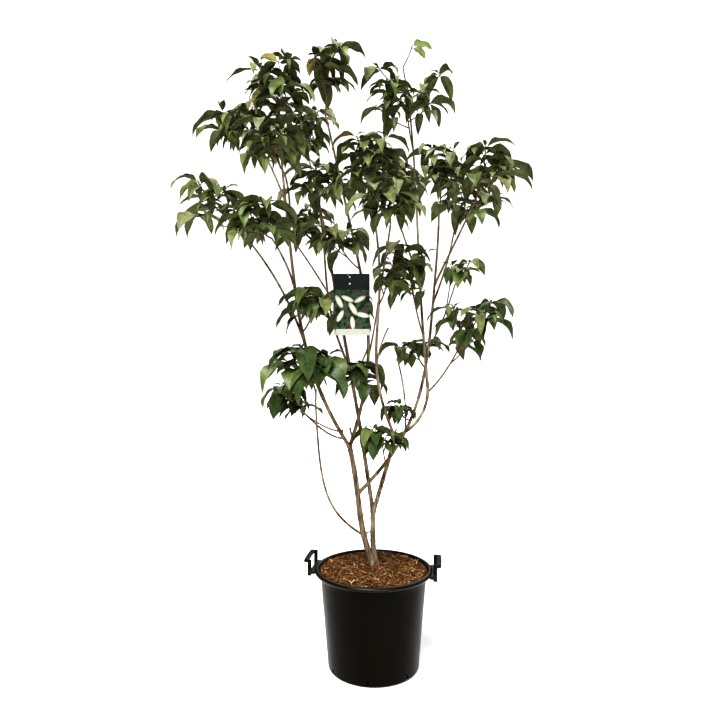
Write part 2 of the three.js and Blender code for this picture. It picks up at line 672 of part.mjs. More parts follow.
function potSolid() {
  let pot = turned([...POT_OUTSIDE, ...POT_INSIDE], POT_SIDES);
  for (let i = 0; i < DRAIN_SLOTS; i += 1) {
    const turn = (2 * Math.PI * (i - 0.15)) / DRAIN_SLOTS - Math.PI / 2;
    const slot = boxAt(
      [12, DRAIN_SLOT_WIDTH, DRAIN_SLOT_HEIGHT],
      [POT_BASE_RADIUS, 0, DRAIN_SLOT_RISE + DRAIN_SLOT_HEIGHT / 2], turn,
    );
    pot = pot.subtract(slot);
  }
  return pot;
}

// The mulch fills the pot to just under its rim, a little lower along the wall
function mulchSolid() {
  const [, shoulder, neck, foot, floor] = POT_INSIDE;
  const edge = MULCH_TOP - MULCH_EDGE_DROP;
  const share = (edge - neck[1]) / (shoulder[1] - neck[1]);
  const edgeRadius = neck[0] + (shoulder[0] - neck[0]) * share;
  return turned([
    [0, floor[1] + CUT], [foot[0] - CUT, foot[1] + CUT], [neck[0] - CUT, neck[1]],
    [edgeRadius - 2 * CUT, edge], [150, MULCH_TOP - MULCH_EDGE_DROP / 2],
    [95, MULCH_TOP], [0, MULCH_TOP],
  ], POT_SIDES);
}

// A handle: two flat posts on a foot along the rim, joined by a thick grip that stands
// outward of them and bows a little. Both handles are turned about the axis of the pot.
function handleSolid(side) {
  const face = POT_RIM_RADIUS + 4;
  const posts = [-0.5, 0.5].map((place) => boxAt(
    [HANDLE_POST_WIDTH, HANDLE_POST_THICK, HANDLE_TOP - HANDLE_BOTTOM],
    [face + HANDLE_POST_WIDTH / 2, place * HANDLE_POST_GAP, (HANDLE_TOP + HANDLE_BOTTOM) / 2], 0,
  ));
  const foot = boxAt(
    [HANDLE_FOOT_DEPTH, HANDLE_POST_GAP + HANDLE_POST_THICK, HANDLE_FOOT_HEIGHT],
    [face + HANDLE_FOOT_OVERHANG - HANDLE_FOOT_DEPTH / 2, 0, POT_HEIGHT - 9], 0,
  );
  const gripPoints = [-1, -0.5, 0, 0.5, 1].map((t) => [
    face + HANDLE_GRIP_OUT + HANDLE_BOW * (1 - t * t),
    (t * (HANDLE_POST_GAP + HANDLE_POST_THICK)) / 2,
    HANDLE_TOP - HANDLE_GRIP_RADIUS,
  ]);
  const grip = tube(gripPoints, gripPoints.map(() => HANDLE_GRIP_RADIUS), 8, false);
  const turn = THREE.MathUtils.degToRad(HANDLE_TURN) + (side < 0 ? Math.PI : 0);
  const matrix = new THREE.Matrix4().makeRotationZ(turn);
  const handle = posts[0].add(posts[1]).add(foot).add(grip).transform(matrix.elements);
  const rimSpace = turned([
    [0, 0], [POT_RIM_RADIUS + GAP, 0], [POT_RIM_RADIUS + GAP, POT_HEIGHT + 60], [0, POT_HEIGHT + 60],
  ], POT_SIDES);
  return largestPiece(handle.subtract(rimSpace));
}

// The label: a thin card with two punched holes near its top edge
function labelSolid() {
  const half = [LABEL_WIDTH / 2, LABEL_HEIGHT / 2];
  const corner = LABEL_CORNER;
  const outline = new THREE.Shape();
  outline.moveTo(-half[0] + corner, -half[1]);
  outline.lineTo(half[0] - corner, -half[1]);
  outline.absarc(half[0] - corner, -half[1] + corner, corner, -Math.PI / 2, 0);
  outline.absarc(half[0] - corner, half[1] - corner, corner, 0, Math.PI / 2);
  outline.absarc(-half[0] + corner, half[1] - corner, corner, Math.PI / 2, Math.PI);
  outline.absarc(-half[0] + corner, -half[1] + corner, corner, Math.PI, 1.5 * Math.PI);
  [half[1] - LABEL_HOLE_DROP, half[1] - 3 * LABEL_HOLE_DROP].forEach((z) => {
    const hole = new THREE.Path();
    hole.absarc(LABEL_HOLE_X, z, LABEL_HOLE_RADIUS, 0, 2 * Math.PI, true);
    outline.holes.push(hole);
  });
  const geometry = new THREE.ExtrudeGeometry(outline, {
    depth: LABEL_THICK, bevelEnabled: false, curveSegments: 3,
  });
  geometry.rotateX(Math.PI / 2);
  geometry.translate(LABEL_CENTRE[0], LABEL_CENTRE[1], LABEL_CENTRE[2]);
  return solidFromGeometry(geometry);
}

// The loop: a thin wire through the upper hole, over the top edge of the card and round
// the bough behind it, level at the bough and upright at the card
function loopSolid() {
  const hole = [
    LABEL_CENTRE[0] + LABEL_HOLE_X, LABEL_CENTRE[1] - LABEL_THICK / 2,
    LABEL_CENTRE[2] + LABEL_HEIGHT / 2 - LABEL_HOLE_DROP,
  ];
  const bough = limbByName.bough_centre_left;
  const boughAt = (hole[2] + LOOP_RISE - bough.foot[2]) / (bough.tip[2] - bough.foot[2]);
  const card = add(hole, [0, 0, LOOP_RISE]);
  const across = sub(limbPoint(bough, boughAt), card);
  const level = unit(cross([0, 0, 1], across));
  const middle = add(card, times(across, LOOP_MIDDLE));
  const points = [];
  for (let i = 0; i < LOOP_STEPS; i += 1) {
    const angle = (2 * Math.PI * i) / LOOP_STEPS;
    const share = LOOP_MIDDLE - LOOP_REACH * Math.cos(angle);
    const held = Math.min(Math.max(share, 0), 1);
    const aside = add([0, 0, LOOP_HEIGHT * (1 - held)], times(level, LOOP_WIDTH * held));
    points.push(add(add(card, times(across, share)), times(aside, Math.sin(angle))));
  }
  return ringSolid(points, middle, LOOP_WIRE, 4);
}

// A closed ring of wire through points that go round a middle
function ringSolid(points, middle, radius, sides) {
  const count = points.length;
  const corners = [];
  points.forEach((point, i) => {
    const along = unit(sub(points[(i + 1) % count], points[(i + count - 1) % count]));
    const out = sub(point, middle);
    const outward = unit(sub(out, times(along, dot(out, along))));
    const beside = cross(along, outward);
    for (let k = 0; k < sides; k += 1) {
      const angle = (2 * Math.PI * k) / sides;
      corners.push(add(point, add(
        times(outward, radius * Math.cos(angle)), times(beside, radius * Math.sin(angle)),
      )));
    }
  });
  const triangles = [];
  for (let i = 0; i < count; i += 1) {
    for (let k = 0; k < sides; k += 1) {
      const a = i * sides + k;
      const b = i * sides + ((k + 1) % sides);
      const c = ((i + 1) % count) * sides + ((k + 1) % sides);
      const d = ((i + 1) % count) * sides + k;
      triangles.push([a, b, c], [a, c, d]);
    }
  }
  return solidFrom(corners, triangles);
}

const plant = new THREE.Group();
plant.name = 'kousa_dogwood_in_pot';

function place(name, solid, slot) {
  const material = new THREE.MeshStandardMaterial({ color: SLOT_COLOURS[slot], roughness: 0.8 });
  material.name = slot;
  const mesh = new THREE.Mesh(geometryFrom(solid), material);
  mesh.name = name;
  plant.add(mesh);
}

place('pot', potSolid(), 'pot_plastic');
place('mulch', mulchSolid(), 'mulch');
place('handle_right', handleSolid(1), 'pot_plastic');
place('handle_left', handleSolid(-1), 'pot_plastic');
LIMBS.forEach((limb, i) => place(limb.name, limbSolids[i], 'bark'));
MASSES.forEach((mass, m) => place(mass.name, massSolid(m), 'leaf'));
place('label_card', labelSolid(), 'label_card');
place('label_loop', loopSolid(), 'loop_plastic');

export default plant;
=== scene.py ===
import math

import bpy
import numpy as np
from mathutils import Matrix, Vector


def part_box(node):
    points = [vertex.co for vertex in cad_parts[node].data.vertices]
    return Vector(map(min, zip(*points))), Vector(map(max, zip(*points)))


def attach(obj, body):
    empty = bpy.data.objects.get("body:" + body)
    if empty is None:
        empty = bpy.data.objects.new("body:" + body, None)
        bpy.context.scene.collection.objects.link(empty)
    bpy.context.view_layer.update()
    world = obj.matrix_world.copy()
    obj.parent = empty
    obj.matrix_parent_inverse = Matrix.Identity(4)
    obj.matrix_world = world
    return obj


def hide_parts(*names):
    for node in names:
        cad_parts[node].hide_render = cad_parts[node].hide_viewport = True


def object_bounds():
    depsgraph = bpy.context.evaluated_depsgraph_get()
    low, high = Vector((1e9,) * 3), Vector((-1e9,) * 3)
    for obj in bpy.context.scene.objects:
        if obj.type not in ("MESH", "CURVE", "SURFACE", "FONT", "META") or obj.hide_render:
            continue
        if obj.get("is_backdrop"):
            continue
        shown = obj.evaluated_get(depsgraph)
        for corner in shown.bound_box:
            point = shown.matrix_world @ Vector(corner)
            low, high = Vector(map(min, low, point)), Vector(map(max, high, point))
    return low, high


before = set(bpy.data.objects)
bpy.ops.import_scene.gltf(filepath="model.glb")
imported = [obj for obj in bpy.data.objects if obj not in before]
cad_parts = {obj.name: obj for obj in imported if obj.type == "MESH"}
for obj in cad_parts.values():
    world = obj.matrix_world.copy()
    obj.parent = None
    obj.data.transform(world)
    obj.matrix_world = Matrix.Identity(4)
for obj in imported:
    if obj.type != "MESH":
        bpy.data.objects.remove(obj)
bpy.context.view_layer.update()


# The pot. A nursery container moulded in black polythene, about 3 mm thick and slightly conical.
# It has a rolled lip, a rounded foot and seven drain slots cut through the foot of its wall.
POT_UNDERSIDE = [[0, 0.0018], [0.12, 0.0018], [0.135, 0.0]]
POT_FOOT_RADIUS = 0.157
POT_FOOT_ROUND = 0.009
POT_NECK = (0.184, 0.313)
POT_UNDER_LIP = [[0.1855, 0.3158]]
POT_LIP_CENTRE = (0.1962, 0.3245)
POT_LIP_HALF = (0.0086, 0.0074)
POT_INSIDE = [[0.1885, 0.3262], [0.1857, 0.318], [0.181, 0.304], [0.151, 0.005], [0.0, 0.005]]
POT_STEPS = 180
POT_SLOTS = 7
POT_SLOT_SIZE = (0.012, 0.007, 0.016)
POT_SLOT_BOTTOM = 0.007
POT_SLOT_SHIFT = 0.15
POT_SHINE_HEIGHT = 0.325
POT_SHINE_HALF = 0.009
POT_BLACK = (10, 8, 4)
POT_DULL = (15, 12, 7)
POT_WORN = (24, 18, 10)


def linear(rgb):
    """An sRGB colour of 0 to 255 as linear red, green, blue and a full alpha."""
    part = np.array(rgb) / 255
    curve = np.where(part <= 0.04045, part / 12.92, ((part + 0.055) / 1.055) ** 2.4)
    return (*curve.tolist(), 1.0)


def points_at(*coordinates):
    """Points from their coordinates, any of which may be one number for all of them."""
    return np.stack(np.broadcast_arrays(*coordinates), axis=-1)


def arc(centre, half, start, end, count):
    """Points of an oval arc: centre + half * (cos a, sin a), from one angle in degrees to another."""
    turn = np.radians(np.linspace(start, end, count))
    return points_at(centre[0] + half[0] * np.cos(turn), centre[1] + half[1] * np.sin(turn))


def turned(profile, steps):
    """Surface of revolution: the profile's point (r, z) at angle a lies at (r cos a, r sin a, z)."""
    radius, height = np.array(profile).T[..., None]
    angle = np.arange(steps) * 2 * np.pi / steps
    return points_at(radius * np.cos(angle), radius * np.sin(angle), height)


def wrapped_faces(rows, columns):
    """Quads of a grid whose last column joins its first: each ties row i to row i + 1."""
    i, j = np.meshgrid(np.arange(rows - 1), np.arange(columns), indexing="ij")
    k = (j + 1) % columns
    quads = [i * columns + j, i * columns + k, (i + 1) * columns + k, (i + 1) * columns + j]
    return np.stack(quads, axis=-1).reshape(-1, 4)


def piece_from(name, points, faces, crease=40):
    """A mesh object from arrays of points and faces, smooth but for edges sharper than crease."""
    mesh = bpy.data.meshes.new(name)
    mesh.from_pydata(np.asarray(points).reshape(-1, 3), [], faces)
    mesh.shade_smooth()
    mesh.set_sharp_from_angle(angle=math.radians(crease))
    piece = bpy.data.objects.new(name, mesh)
    bpy.context.scene.collection.objects.link(piece)
    return piece


def apply_modifiers(piece):
    """Swaps the mesh for the one its modifiers give, and takes them off."""
    graph = bpy.context.evaluated_depsgraph_get()
    shaped = bpy.data.meshes.new_from_object(piece.evaluated_get(graph))
    piece.modifiers.clear()
    piece.data = shaped


def closed_poles(piece):
    """Merges the points that fall together where a profile meets the axis."""
    with_poles = piece.modifiers.new("poles", "WELD")
    with_poles.merge_threshold = 1e-6
    apply_modifiers(piece)


def about_axis(angle):
    """The matrix that turns rows of points anticlockwise about the upright axis."""
    return np.array(
        [[math.cos(angle), math.sin(angle), 0], [-math.sin(angle), math.cos(angle), 0], [0, 0, 1]]
    )


def surface(name, colour, roughness, gloss):
    """A new material, its colour, roughness and specular level set on the shader itself."""
    material = bpy.data.materials.new(name)
    material.use_nodes = True
    shader = material.node_tree.nodes["Principled BSDF"]
    shader.inputs["Base Color"].default_value = linear(colour)
    shader.inputs["Roughness"].default_value = roughness
    shader.inputs["Specular IOR Level"].default_value = gloss
    return material, material.node_tree, shader


def own_height(tree):
    """Height on the piece's own coordinates, in metres."""
    place = tree.nodes.new("ShaderNodeTexCoord")
    parts = tree.nodes.new("ShaderNodeSeparateXYZ")
    tree.links.new(place.outputs["Object"], parts.inputs["Vector"])
    return parts.outputs["Z"]


def grain(tree, scale, detail, stretch=(1, 1, 1)):
    """Noise on the piece's own coordinates, after each axis is multiplied by its stretch."""
    place = tree.nodes.new("ShaderNodeTexCoord")
    scaled = tree.nodes.new("ShaderNodeMapping")
    scaled.inputs["Scale"].default_value = stretch
    noise = tree.nodes.new("ShaderNodeTexNoise")
    noise.inputs["Scale"].default_value = scale
    noise.inputs["Detail"].default_value = detail
    tree.links.new(place.outputs["Object"], scaled.inputs["Vector"])
    tree.links.new(scaled.outputs["Vector"], noise.inputs["Vector"])
    return noise.outputs["Fac"]


def dealt(tree, factor, stops):
    """Colours along a factor from 0 to 1, given as stops of a place and an sRGB colour."""
    ramp = tree.nodes.new("ShaderNodeValToRGB")
    while len(ramp.color_ramp.elements) < len(stops):
        ramp.color_ramp.elements.new(0.5)
    for element, (place, colour) in zip(ramp.color_ramp.elements, stops):
        element.position = place
        element.color = linear(colour)
    tree.links.new(factor, ramp.inputs["Fac"])
    return ramp.outputs["Color"]


def painted(tree, shader, factor, stops):
    """Gives a shader its base colour, dealt along a factor."""
    tree.links.new(dealt(tree, factor, stops), shader.inputs["Base Color"])


def relief(tree, shader, height, strength, depth):
    """Bump of a height over any bump that the shader already has, depth in metres."""
    bump = tree.nodes.new("ShaderNodeBump")
    bump.inputs["Strength"].default_value = strength
    bump.inputs["Distance"].default_value = depth
    tree.links.new(height, bump.inputs["Height"])
    before = shader.inputs["Normal"].links
    if before:
        tree.links.new(before[0].from_socket, bump.inputs["Normal"])
    tree.links.new(bump.outputs["Normal"], shader.inputs["Normal"])


def sum_of(tree, operation, first, second=None, clamp=False):
    """A sum on one or two factors or numbers, such as MULTIPLY or ADD."""
    node = tree.nodes.new("ShaderNodeMath")
    node.operation = operation
    node.use_clamp = clamp
    for socket, value in zip(node.inputs, (first, second)):
        if isinstance(value, (int, float)):
            socket.default_value = value
        elif value is not None:
            tree.links.new(value, socket)
    return node.outputs["Value"]


lip_points = arc(POT_LIP_CENTRE, POT_LIP_HALF, -118, 112, 19)
foot_centre = (POT_FOOT_RADIUS - POT_FOOT_ROUND, POT_FOOT_ROUND)
foot_points = arc(foot_centre, (POT_FOOT_ROUND, POT_FOOT_ROUND), -90, 0, 7)
wall_climb = np.linspace(0.06, 1, 12)[:, None]
wall_points = foot_points[-1] + (POT_NECK - foot_points[-1]) * wall_climb
pot_profile = np.concatenate(
    [POT_UNDERSIDE, foot_points, wall_points, POT_UNDER_LIP, lip_points, POT_INSIDE]
)
pot_faces = wrapped_faces(len(pot_profile), POT_STEPS)
pot = piece_from("pot_shell", turned(pot_profile, POT_STEPS), pot_faces, 50)
closed_poles(pot)

box_signs = np.array(
    [[x, y, z] for z in (-1, 1) for x, y in ((-1, -1), (1, -1), (1, 1), (-1, 1))]
)
box_faces = np.array(
    [[0, 3, 2, 1], [4, 5, 6, 7], [0, 1, 5, 4], [1, 2, 6, 5], [2, 3, 7, 6], [3, 0, 4, 7]]
)
slot_middle = [POT_FOOT_RADIUS, 0, POT_SLOT_BOTTOM + POT_SLOT_SIZE[2] / 2]
slot_box = box_signs * POT_SLOT_SIZE / 2 + slot_middle
slot_angles = 2 * np.pi * (np.arange(POT_SLOTS) - POT_SLOT_SHIFT) / POT_SLOTS - np.pi / 2
slot_points = slot_box @ np.array([about_axis(angle) for angle in slot_angles])
slot_faces = (box_faces + 8 * np.arange(POT_SLOTS)[:, None, None]).reshape(-1, 4)
slot_cutter = piece_from("slot_cutter", slot_points, slot_faces)
cut = pot.modifiers.new("slots", "BOOLEAN")
cut.operation = "DIFFERENCE"
cut.solver = "EXACT"
cut.object = slot_cutter
apply_modifiers(pot)
bpy.data.objects.remove(slot_cutter)

pot_plastic, tree, shader = surface("pot_polythene", POT_BLACK, 0.4, 0.08)
scuffs = grain(tree, 9, 6, (1, 1, 0.22))
painted(tree, shader, scuffs, [(0.3, POT_BLACK), (0.62, POT_DULL), (0.85, POT_WORN)])
haze = tree.nodes.new("ShaderNodeMapRange")
haze.inputs["To Min"].default_value = 0.2
haze.inputs["To Max"].default_value = 0.42
tree.links.new(grain(tree, 26, 5, (1, 1, 0.3)), haze.inputs["Value"])
tree.links.new(haze.outputs["Result"], shader.inputs["Roughness"])
off_lip = sum_of(tree, "ABSOLUTE", sum_of(tree, "SUBTRACT", own_height(tree), POT_SHINE_HEIGHT))
on_lip = sum_of(tree, "LESS_THAN", off_lip, POT_SHINE_HALF)
lip_shine = sum_of(tree, "ADD", sum_of(tree, "MULTIPLY", on_lip, 0.12), 0.05)
tree.links.new(lip_shine, shader.inputs["Specular IOR Level"])
relief(tree, shader, grain(tree, 900, 2), 0.12, 0.0004)
relief(tree, shader, grain(tree, 14, 2, (1, 1, 0.4)), 0.16, 0.003)
pot.data.materials.clear()
pot.data.materials.append(pot_plastic)
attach(pot, "root")
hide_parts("pot")


# The handles. Each is a moulded piece of the same black polythene clipped to the lip: a foot
# along the rim, two flat posts and a thick, squarish grip that stands outward of them.
HANDLE_TURN = -7.5
HANDLE_FACE = 0.209
HANDLE_POST_APART = 0.110
HANDLE_POST_HALF = (0.0066, 0.0036)
HANDLE_POST_BOTTOM = 0.3122
HANDLE_POST_SUNK = 0.004
HANDLE_GRIP_HALF = (0.0084, 0.0052)
HANDLE_GRIP_HEIGHT = 0.3606
HANDLE_GRIP_OUT = 0.0175
HANDLE_GRIP_PAST = 0.0045
HANDLE_BOW = 0.002
HANDLE_FOOT_INSIDE = 0.2044
HANDLE_FOOT_OUT = 0.0052
HANDLE_FOOT_PAST = 0.003
HANDLE_FOOT_HEIGHT = 0.323
HANDLE_FOOT_HALF = 0.0058


def swept(paths, wide, deep, sides, guide=(0, 1, 0), square=1.0):
    """Bars carried along paths. A ring stands square to each path at each of its points: at turn a
    it lies wide * cos a across and deep * sin a over, and a square below 1 makes it boxy."""
    ahead = np.gradient(paths, axis=1)
    ahead /= np.linalg.norm(ahead, axis=-1, keepdims=True)
    side = np.cross(guide, ahead)
    side /= np.linalg.norm(side, axis=-1, keepdims=True)
    over = np.cross(ahead, side)
    turn = np.arange(sides) * 2 * np.pi / sides
    aside = np.sign(np.cos(turn)) * np.abs(np.cos(turn)) ** square * wide
    above = np.sign(np.sin(turn)) * np.abs(np.sin(turn)) ** square * deep
    across = side[:, :, None] * aside[..., None]
    return paths[:, :, None] + across + over[:, :, None] * above[..., None]


def bar_faces(count, rings, sides):
    """Quads of bars with closed ends: their skins, and strips of quads across both end rings."""
    skin = wrapped_faces(rings, sides)
    k = np.arange(sides // 2 - 1)
    far = np.stack([k, k + 1, sides - 2 - k, sides - 1 - k], axis=-1)
    one = np.concatenate([skin, far[:, ::-1], far + (rings - 1) * sides])
    return (one + np.arange(count)[:, None, None] * rings * sides).reshape(-1, 4)


def bars(paths, wide, deep, sides, guide=(0, 1, 0), square=1.0):
    """Points and faces of bars along paths, half as wide and deep as given: numbers, or one by ring."""
    wide_rings = np.reshape(wide, (-1, 1))
    deep_rings = np.reshape(deep, (-1, 1))
    rings = swept(paths, wide_rings, deep_rings, sides, guide, square)
    return rings, bar_faces(len(paths), paths.shape[1], sides)


def joined(parts):
    """Arrays of points and faces of several shapes as one pair."""
    points = []
    faces = []
    start = 0
    for shape_points, shape_faces in parts:
        flat = shape_points.reshape(-1, 3)
        points.append(flat)
        faces.append(shape_faces + start)
        start += len(flat)
    return np.concatenate(points), np.concatenate(faces)


post_rise = np.linspace(0, 1, 12)
post_height = HANDLE_GRIP_HEIGHT + HANDLE_POST_SUNK - HANDLE_POST_BOTTOM
post_deep = HANDLE_POST_HALF[1] * (1 + 0.5 * np.exp(-post_rise / 0.14))
handle_parts = []
for place in (-0.5, 0.5):
    post_path = points_at(
        HANDLE_FACE + HANDLE_POST_HALF[0],
        place * HANDLE_POST_APART,
        HANDLE_POST_BOTTOM + post_height * post_rise,
    )
    handle_parts.append(bars(post_path[None], HANDLE_POST_HALF[0], post_deep, 16, square=0.3))
span = np.linspace(-1, 1, 33)
grip_path = points_at(
    HANDLE_FACE + HANDLE_GRIP_OUT + HANDLE_BOW * (1 - span**2),
    span * (HANDLE_POST_APART / 2 + HANDLE_GRIP_PAST),
    HANDLE_GRIP_HEIGHT,
)
grip_end = 1 - 0.45 * np.abs(span) ** 40
grip_wide = HANDLE_GRIP_HALF[0] * grip_end
grip_deep = HANDLE_GRIP_HALF[1] * grip_end
handle_parts.append(bars(grip_path[None], grip_wide, grip_deep, 20, (0, 0, 1), 0.45))
foot_along = span * (HANDLE_POST_APART / 2 + HANDLE_FOOT_PAST)
foot_inner = np.sqrt(HANDLE_FOOT_INSIDE**2 - foot_along**2)
foot_half = (HANDLE_FACE + HANDLE_FOOT_OUT - foot_inner) / 2
foot_path = points_at(foot_inner + foot_half, foot_along, HANDLE_FOOT_HEIGHT)
handle_parts.append(bars(foot_path[None], foot_half, HANDLE_FOOT_HALF, 16, (0, 0, 1), 0.3))
handle_points, handle_faces = joined(handle_parts)
for node, half_turns in (("handle_right", 0), ("handle_left", 1)):
    handle_turn = about_axis(math.radians(HANDLE_TURN) + math.pi * half_turns)
    handle = piece_from(node + "_moulding", handle_points @ handle_turn, handle_faces, 50)
    handle.data.materials.append(pot_plastic)
    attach(handle, "root")
    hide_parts(node)


# The mulch. Shredded conifer bark, brown and fibrous with some straw-pale bits, spread over the
# dark potting mix to just below the pot's lip.
MULCH_TOP = 0.3254
MULCH_EDGE = 0.3234
MULCH_RADIUS = 0.1870
MULCH_WAVE = 0.0011
MULCH_SIDE = [[0.1795, 0.300], [0.1502, 0.0058], [0, 0.0058]]
MULCH_ROWS = 47
MULCH_STEPS = 160
POTTING_MIX_TOP = 0.3135
SHREDS = 3400
SHRED_SPREAD = 0.1862
SHRED_WITHIN = 0.1846
SHRED_TAPER = (0.55, 1, 0.9, 0.4)
SHRED_FLAT = 0.38
MULCH_DARK = (52, 31, 12)
MULCH_BROWN = (89, 64, 40)
MULCH_PALE = (138, 103, 68)
MULCH_STRAW = (164, 140, 100)


def mulch_height(x, y):
    """Height of the mulch: it falls by the sixth power of the share of the way out to the wall,
    under low waves that die out there."""
    share = np.hypot(x, y) / MULCH_RADIUS
    broad = np.sin(61 * x + 4) * np.cos(53 * y)
    fine = np.sin(139 * x - 97 * y) * np.cos(88 * y + x * 40)
    waves = MULCH_WAVE * (broad + 0.6 * fine) * (1 - share**8)
    return MULCH_TOP - (MULCH_TOP - MULCH_EDGE) * share**6 + waves


mulch_radii = np.concatenate([[0], np.linspace(0.003, 1, MULCH_ROWS - 1) * MULCH_RADIUS])
mulch_top = turned(points_at(mulch_radii, 0.0), MULCH_STEPS)
mulch_top[..., 2] = mulch_height(mulch_top[..., 0], mulch_top[..., 1])
mulch_points = np.concatenate([mulch_top, turned(MULCH_SIDE, MULCH_STEPS)])[::-1]
mulch_bed = piece_from("mulch_bed", mulch_points, wrapped_faces(len(mulch_points), MULCH_STEPS))
closed_poles(mulch_bed)
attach(mulch_bed, "root")
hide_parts("mulch")

chance = np.random.default_rng(41)
shred_long = 0.005 + 0.012 * chance.random(SHREDS) ** 1.6
shred_out = np.minimum(SHRED_SPREAD * np.sqrt(chance.random(SHREDS)), SHRED_WITHIN - shred_long)
shred_turn = chance.random(SHREDS) * 2 * np.pi
shred_lie = chance.random(SHREDS) * 2 * np.pi
shred_tilt = chance.normal(0, 0.22, SHREDS)
shred_lift = 0.0004 + 0.0032 * chance.random(SHREDS)
shred_curl = 0.0014 * chance.normal(0, 1, SHREDS)
shred_half = 0.0007 + 0.0019 * chance.random(SHREDS) ** 2
shred_kind = np.searchsorted([0.48, 0.66, 0.93], chance.random(SHREDS))

shred_x = shred_out * np.cos(shred_turn)
shred_y = shred_out * np.sin(shred_turn)
shred_middle = points_at(shred_x, shred_y, mulch_height(shred_x, shred_y) + shred_lift)
shred_ahead = points_at(
    np.cos(shred_lie) * np.cos(shred_tilt), np.sin(shred_lie) * np.cos(shred_tilt), np.sin(shred_tilt)
)
shred_aside = points_at(-np.sin(shred_lie), np.cos(shred_lie), 0.4)
along = np.linspace(-1, 1, len(SHRED_TAPER))
shred_reach = np.outer(shred_long, along)
shred_bend = np.outer(shred_curl, 1 - along**2)
shred_paths = (
    shred_middle[:, None]
    + shred_ahead[:, None] * shred_reach[..., None]
    + shred_aside[:, None] * shred_bend[..., None]
)
shred_wide = np.outer(shred_half, SHRED_TAPER)[..., None]
# The guide leans a little off upright, so that no shred stands along it
shred_points = swept(shred_paths, shred_wide, SHRED_FLAT * shred_wide, 4, (0.03, 0.02, 1))
shred_faces = bar_faces(SHREDS, len(SHRED_TAPER), 4)
mulch_shreds = piece_from("mulch_shreds", shred_points, shred_faces, 30)
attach(mulch_shreds, "root")

for name, dark, brown, pale in (
    ("mulch_bark", MULCH_DARK, (78, 54, 30), MULCH_BROWN),
    ("mulch_bark_dark", (40, 21, 8), MULCH_DARK, (84, 50, 24)),
    ("mulch_bark_pale", MULCH_BROWN, (122, 86, 51), MULCH_PALE),
    ("mulch_straw", MULCH_PALE, MULCH_STRAW, (196, 174, 132)),
):
    shred_finish, tree, shader = surface(name, brown, 0.85, 0.1)
    painted(tree, shader, grain(tree, 240, 5), [(0.34, dark), (0.5, brown), (0.68, pale)])
    relief(tree, shader, grain(tree, 700, 4), 0.5, 0.0006)
    mulch_shreds.data.materials.append(shred_finish)
faces_by_shred = len(shred_faces) // SHREDS
mulch_shreds.data.polygons.foreach_set(
    "material_index", np.repeat(shred_kind, faces_by_shred).astype(np.int32)
)
potting_mix, tree, shader = surface("potting_mix", (20, 15, 10), 0.95, 0.02)
painted(tree, shader, grain(tree, 160, 6), [(0.4, (9, 7, 4)), (0.62, (26, 19, 12))])
relief(tree, shader, grain(tree, 300, 5), 0.7, 0.002)
mulch_bed.data.materials.clear()
mulch_bed.data.materials.append(mulch_shreds.data.materials["mulch_bark_dark"])
mulch_bed.data.materials.append(potting_mix)
bed_middles = np.empty(3 * len(mulch_bed.data.polygons), np.float32)
mulch_bed.data.polygons.foreach_get("center", bed_middles)
mulch_bed.data.polygons.foreach_set(
    "material_index", (bed_middles[2::3] < POTTING_MIX_TOP).astype(np.int32)
)


# The stems and boughs. Living wood: two stems rise together from the mulch, fork low down and
# carry the boughs. The bark is thin, grey-brown and finely flaked, and knuckled at old leaf scars.
BARK_RINGS_APART = 4.5
BARK_PROUD = 0.7
BARK_FLARE = (6, 14)
BARK_COLLAR = (0.32, 11)
BARK_KNUCKLE = (0.13, 4.2)
BARK_KNUCKLES_APART = 78
BARK_GREY = (121, 109, 91)
BARK_BROWN = (95, 81, 64)
BARK_DEEP = (54, 40, 29)
BARK_PALE = (148, 134, 113)
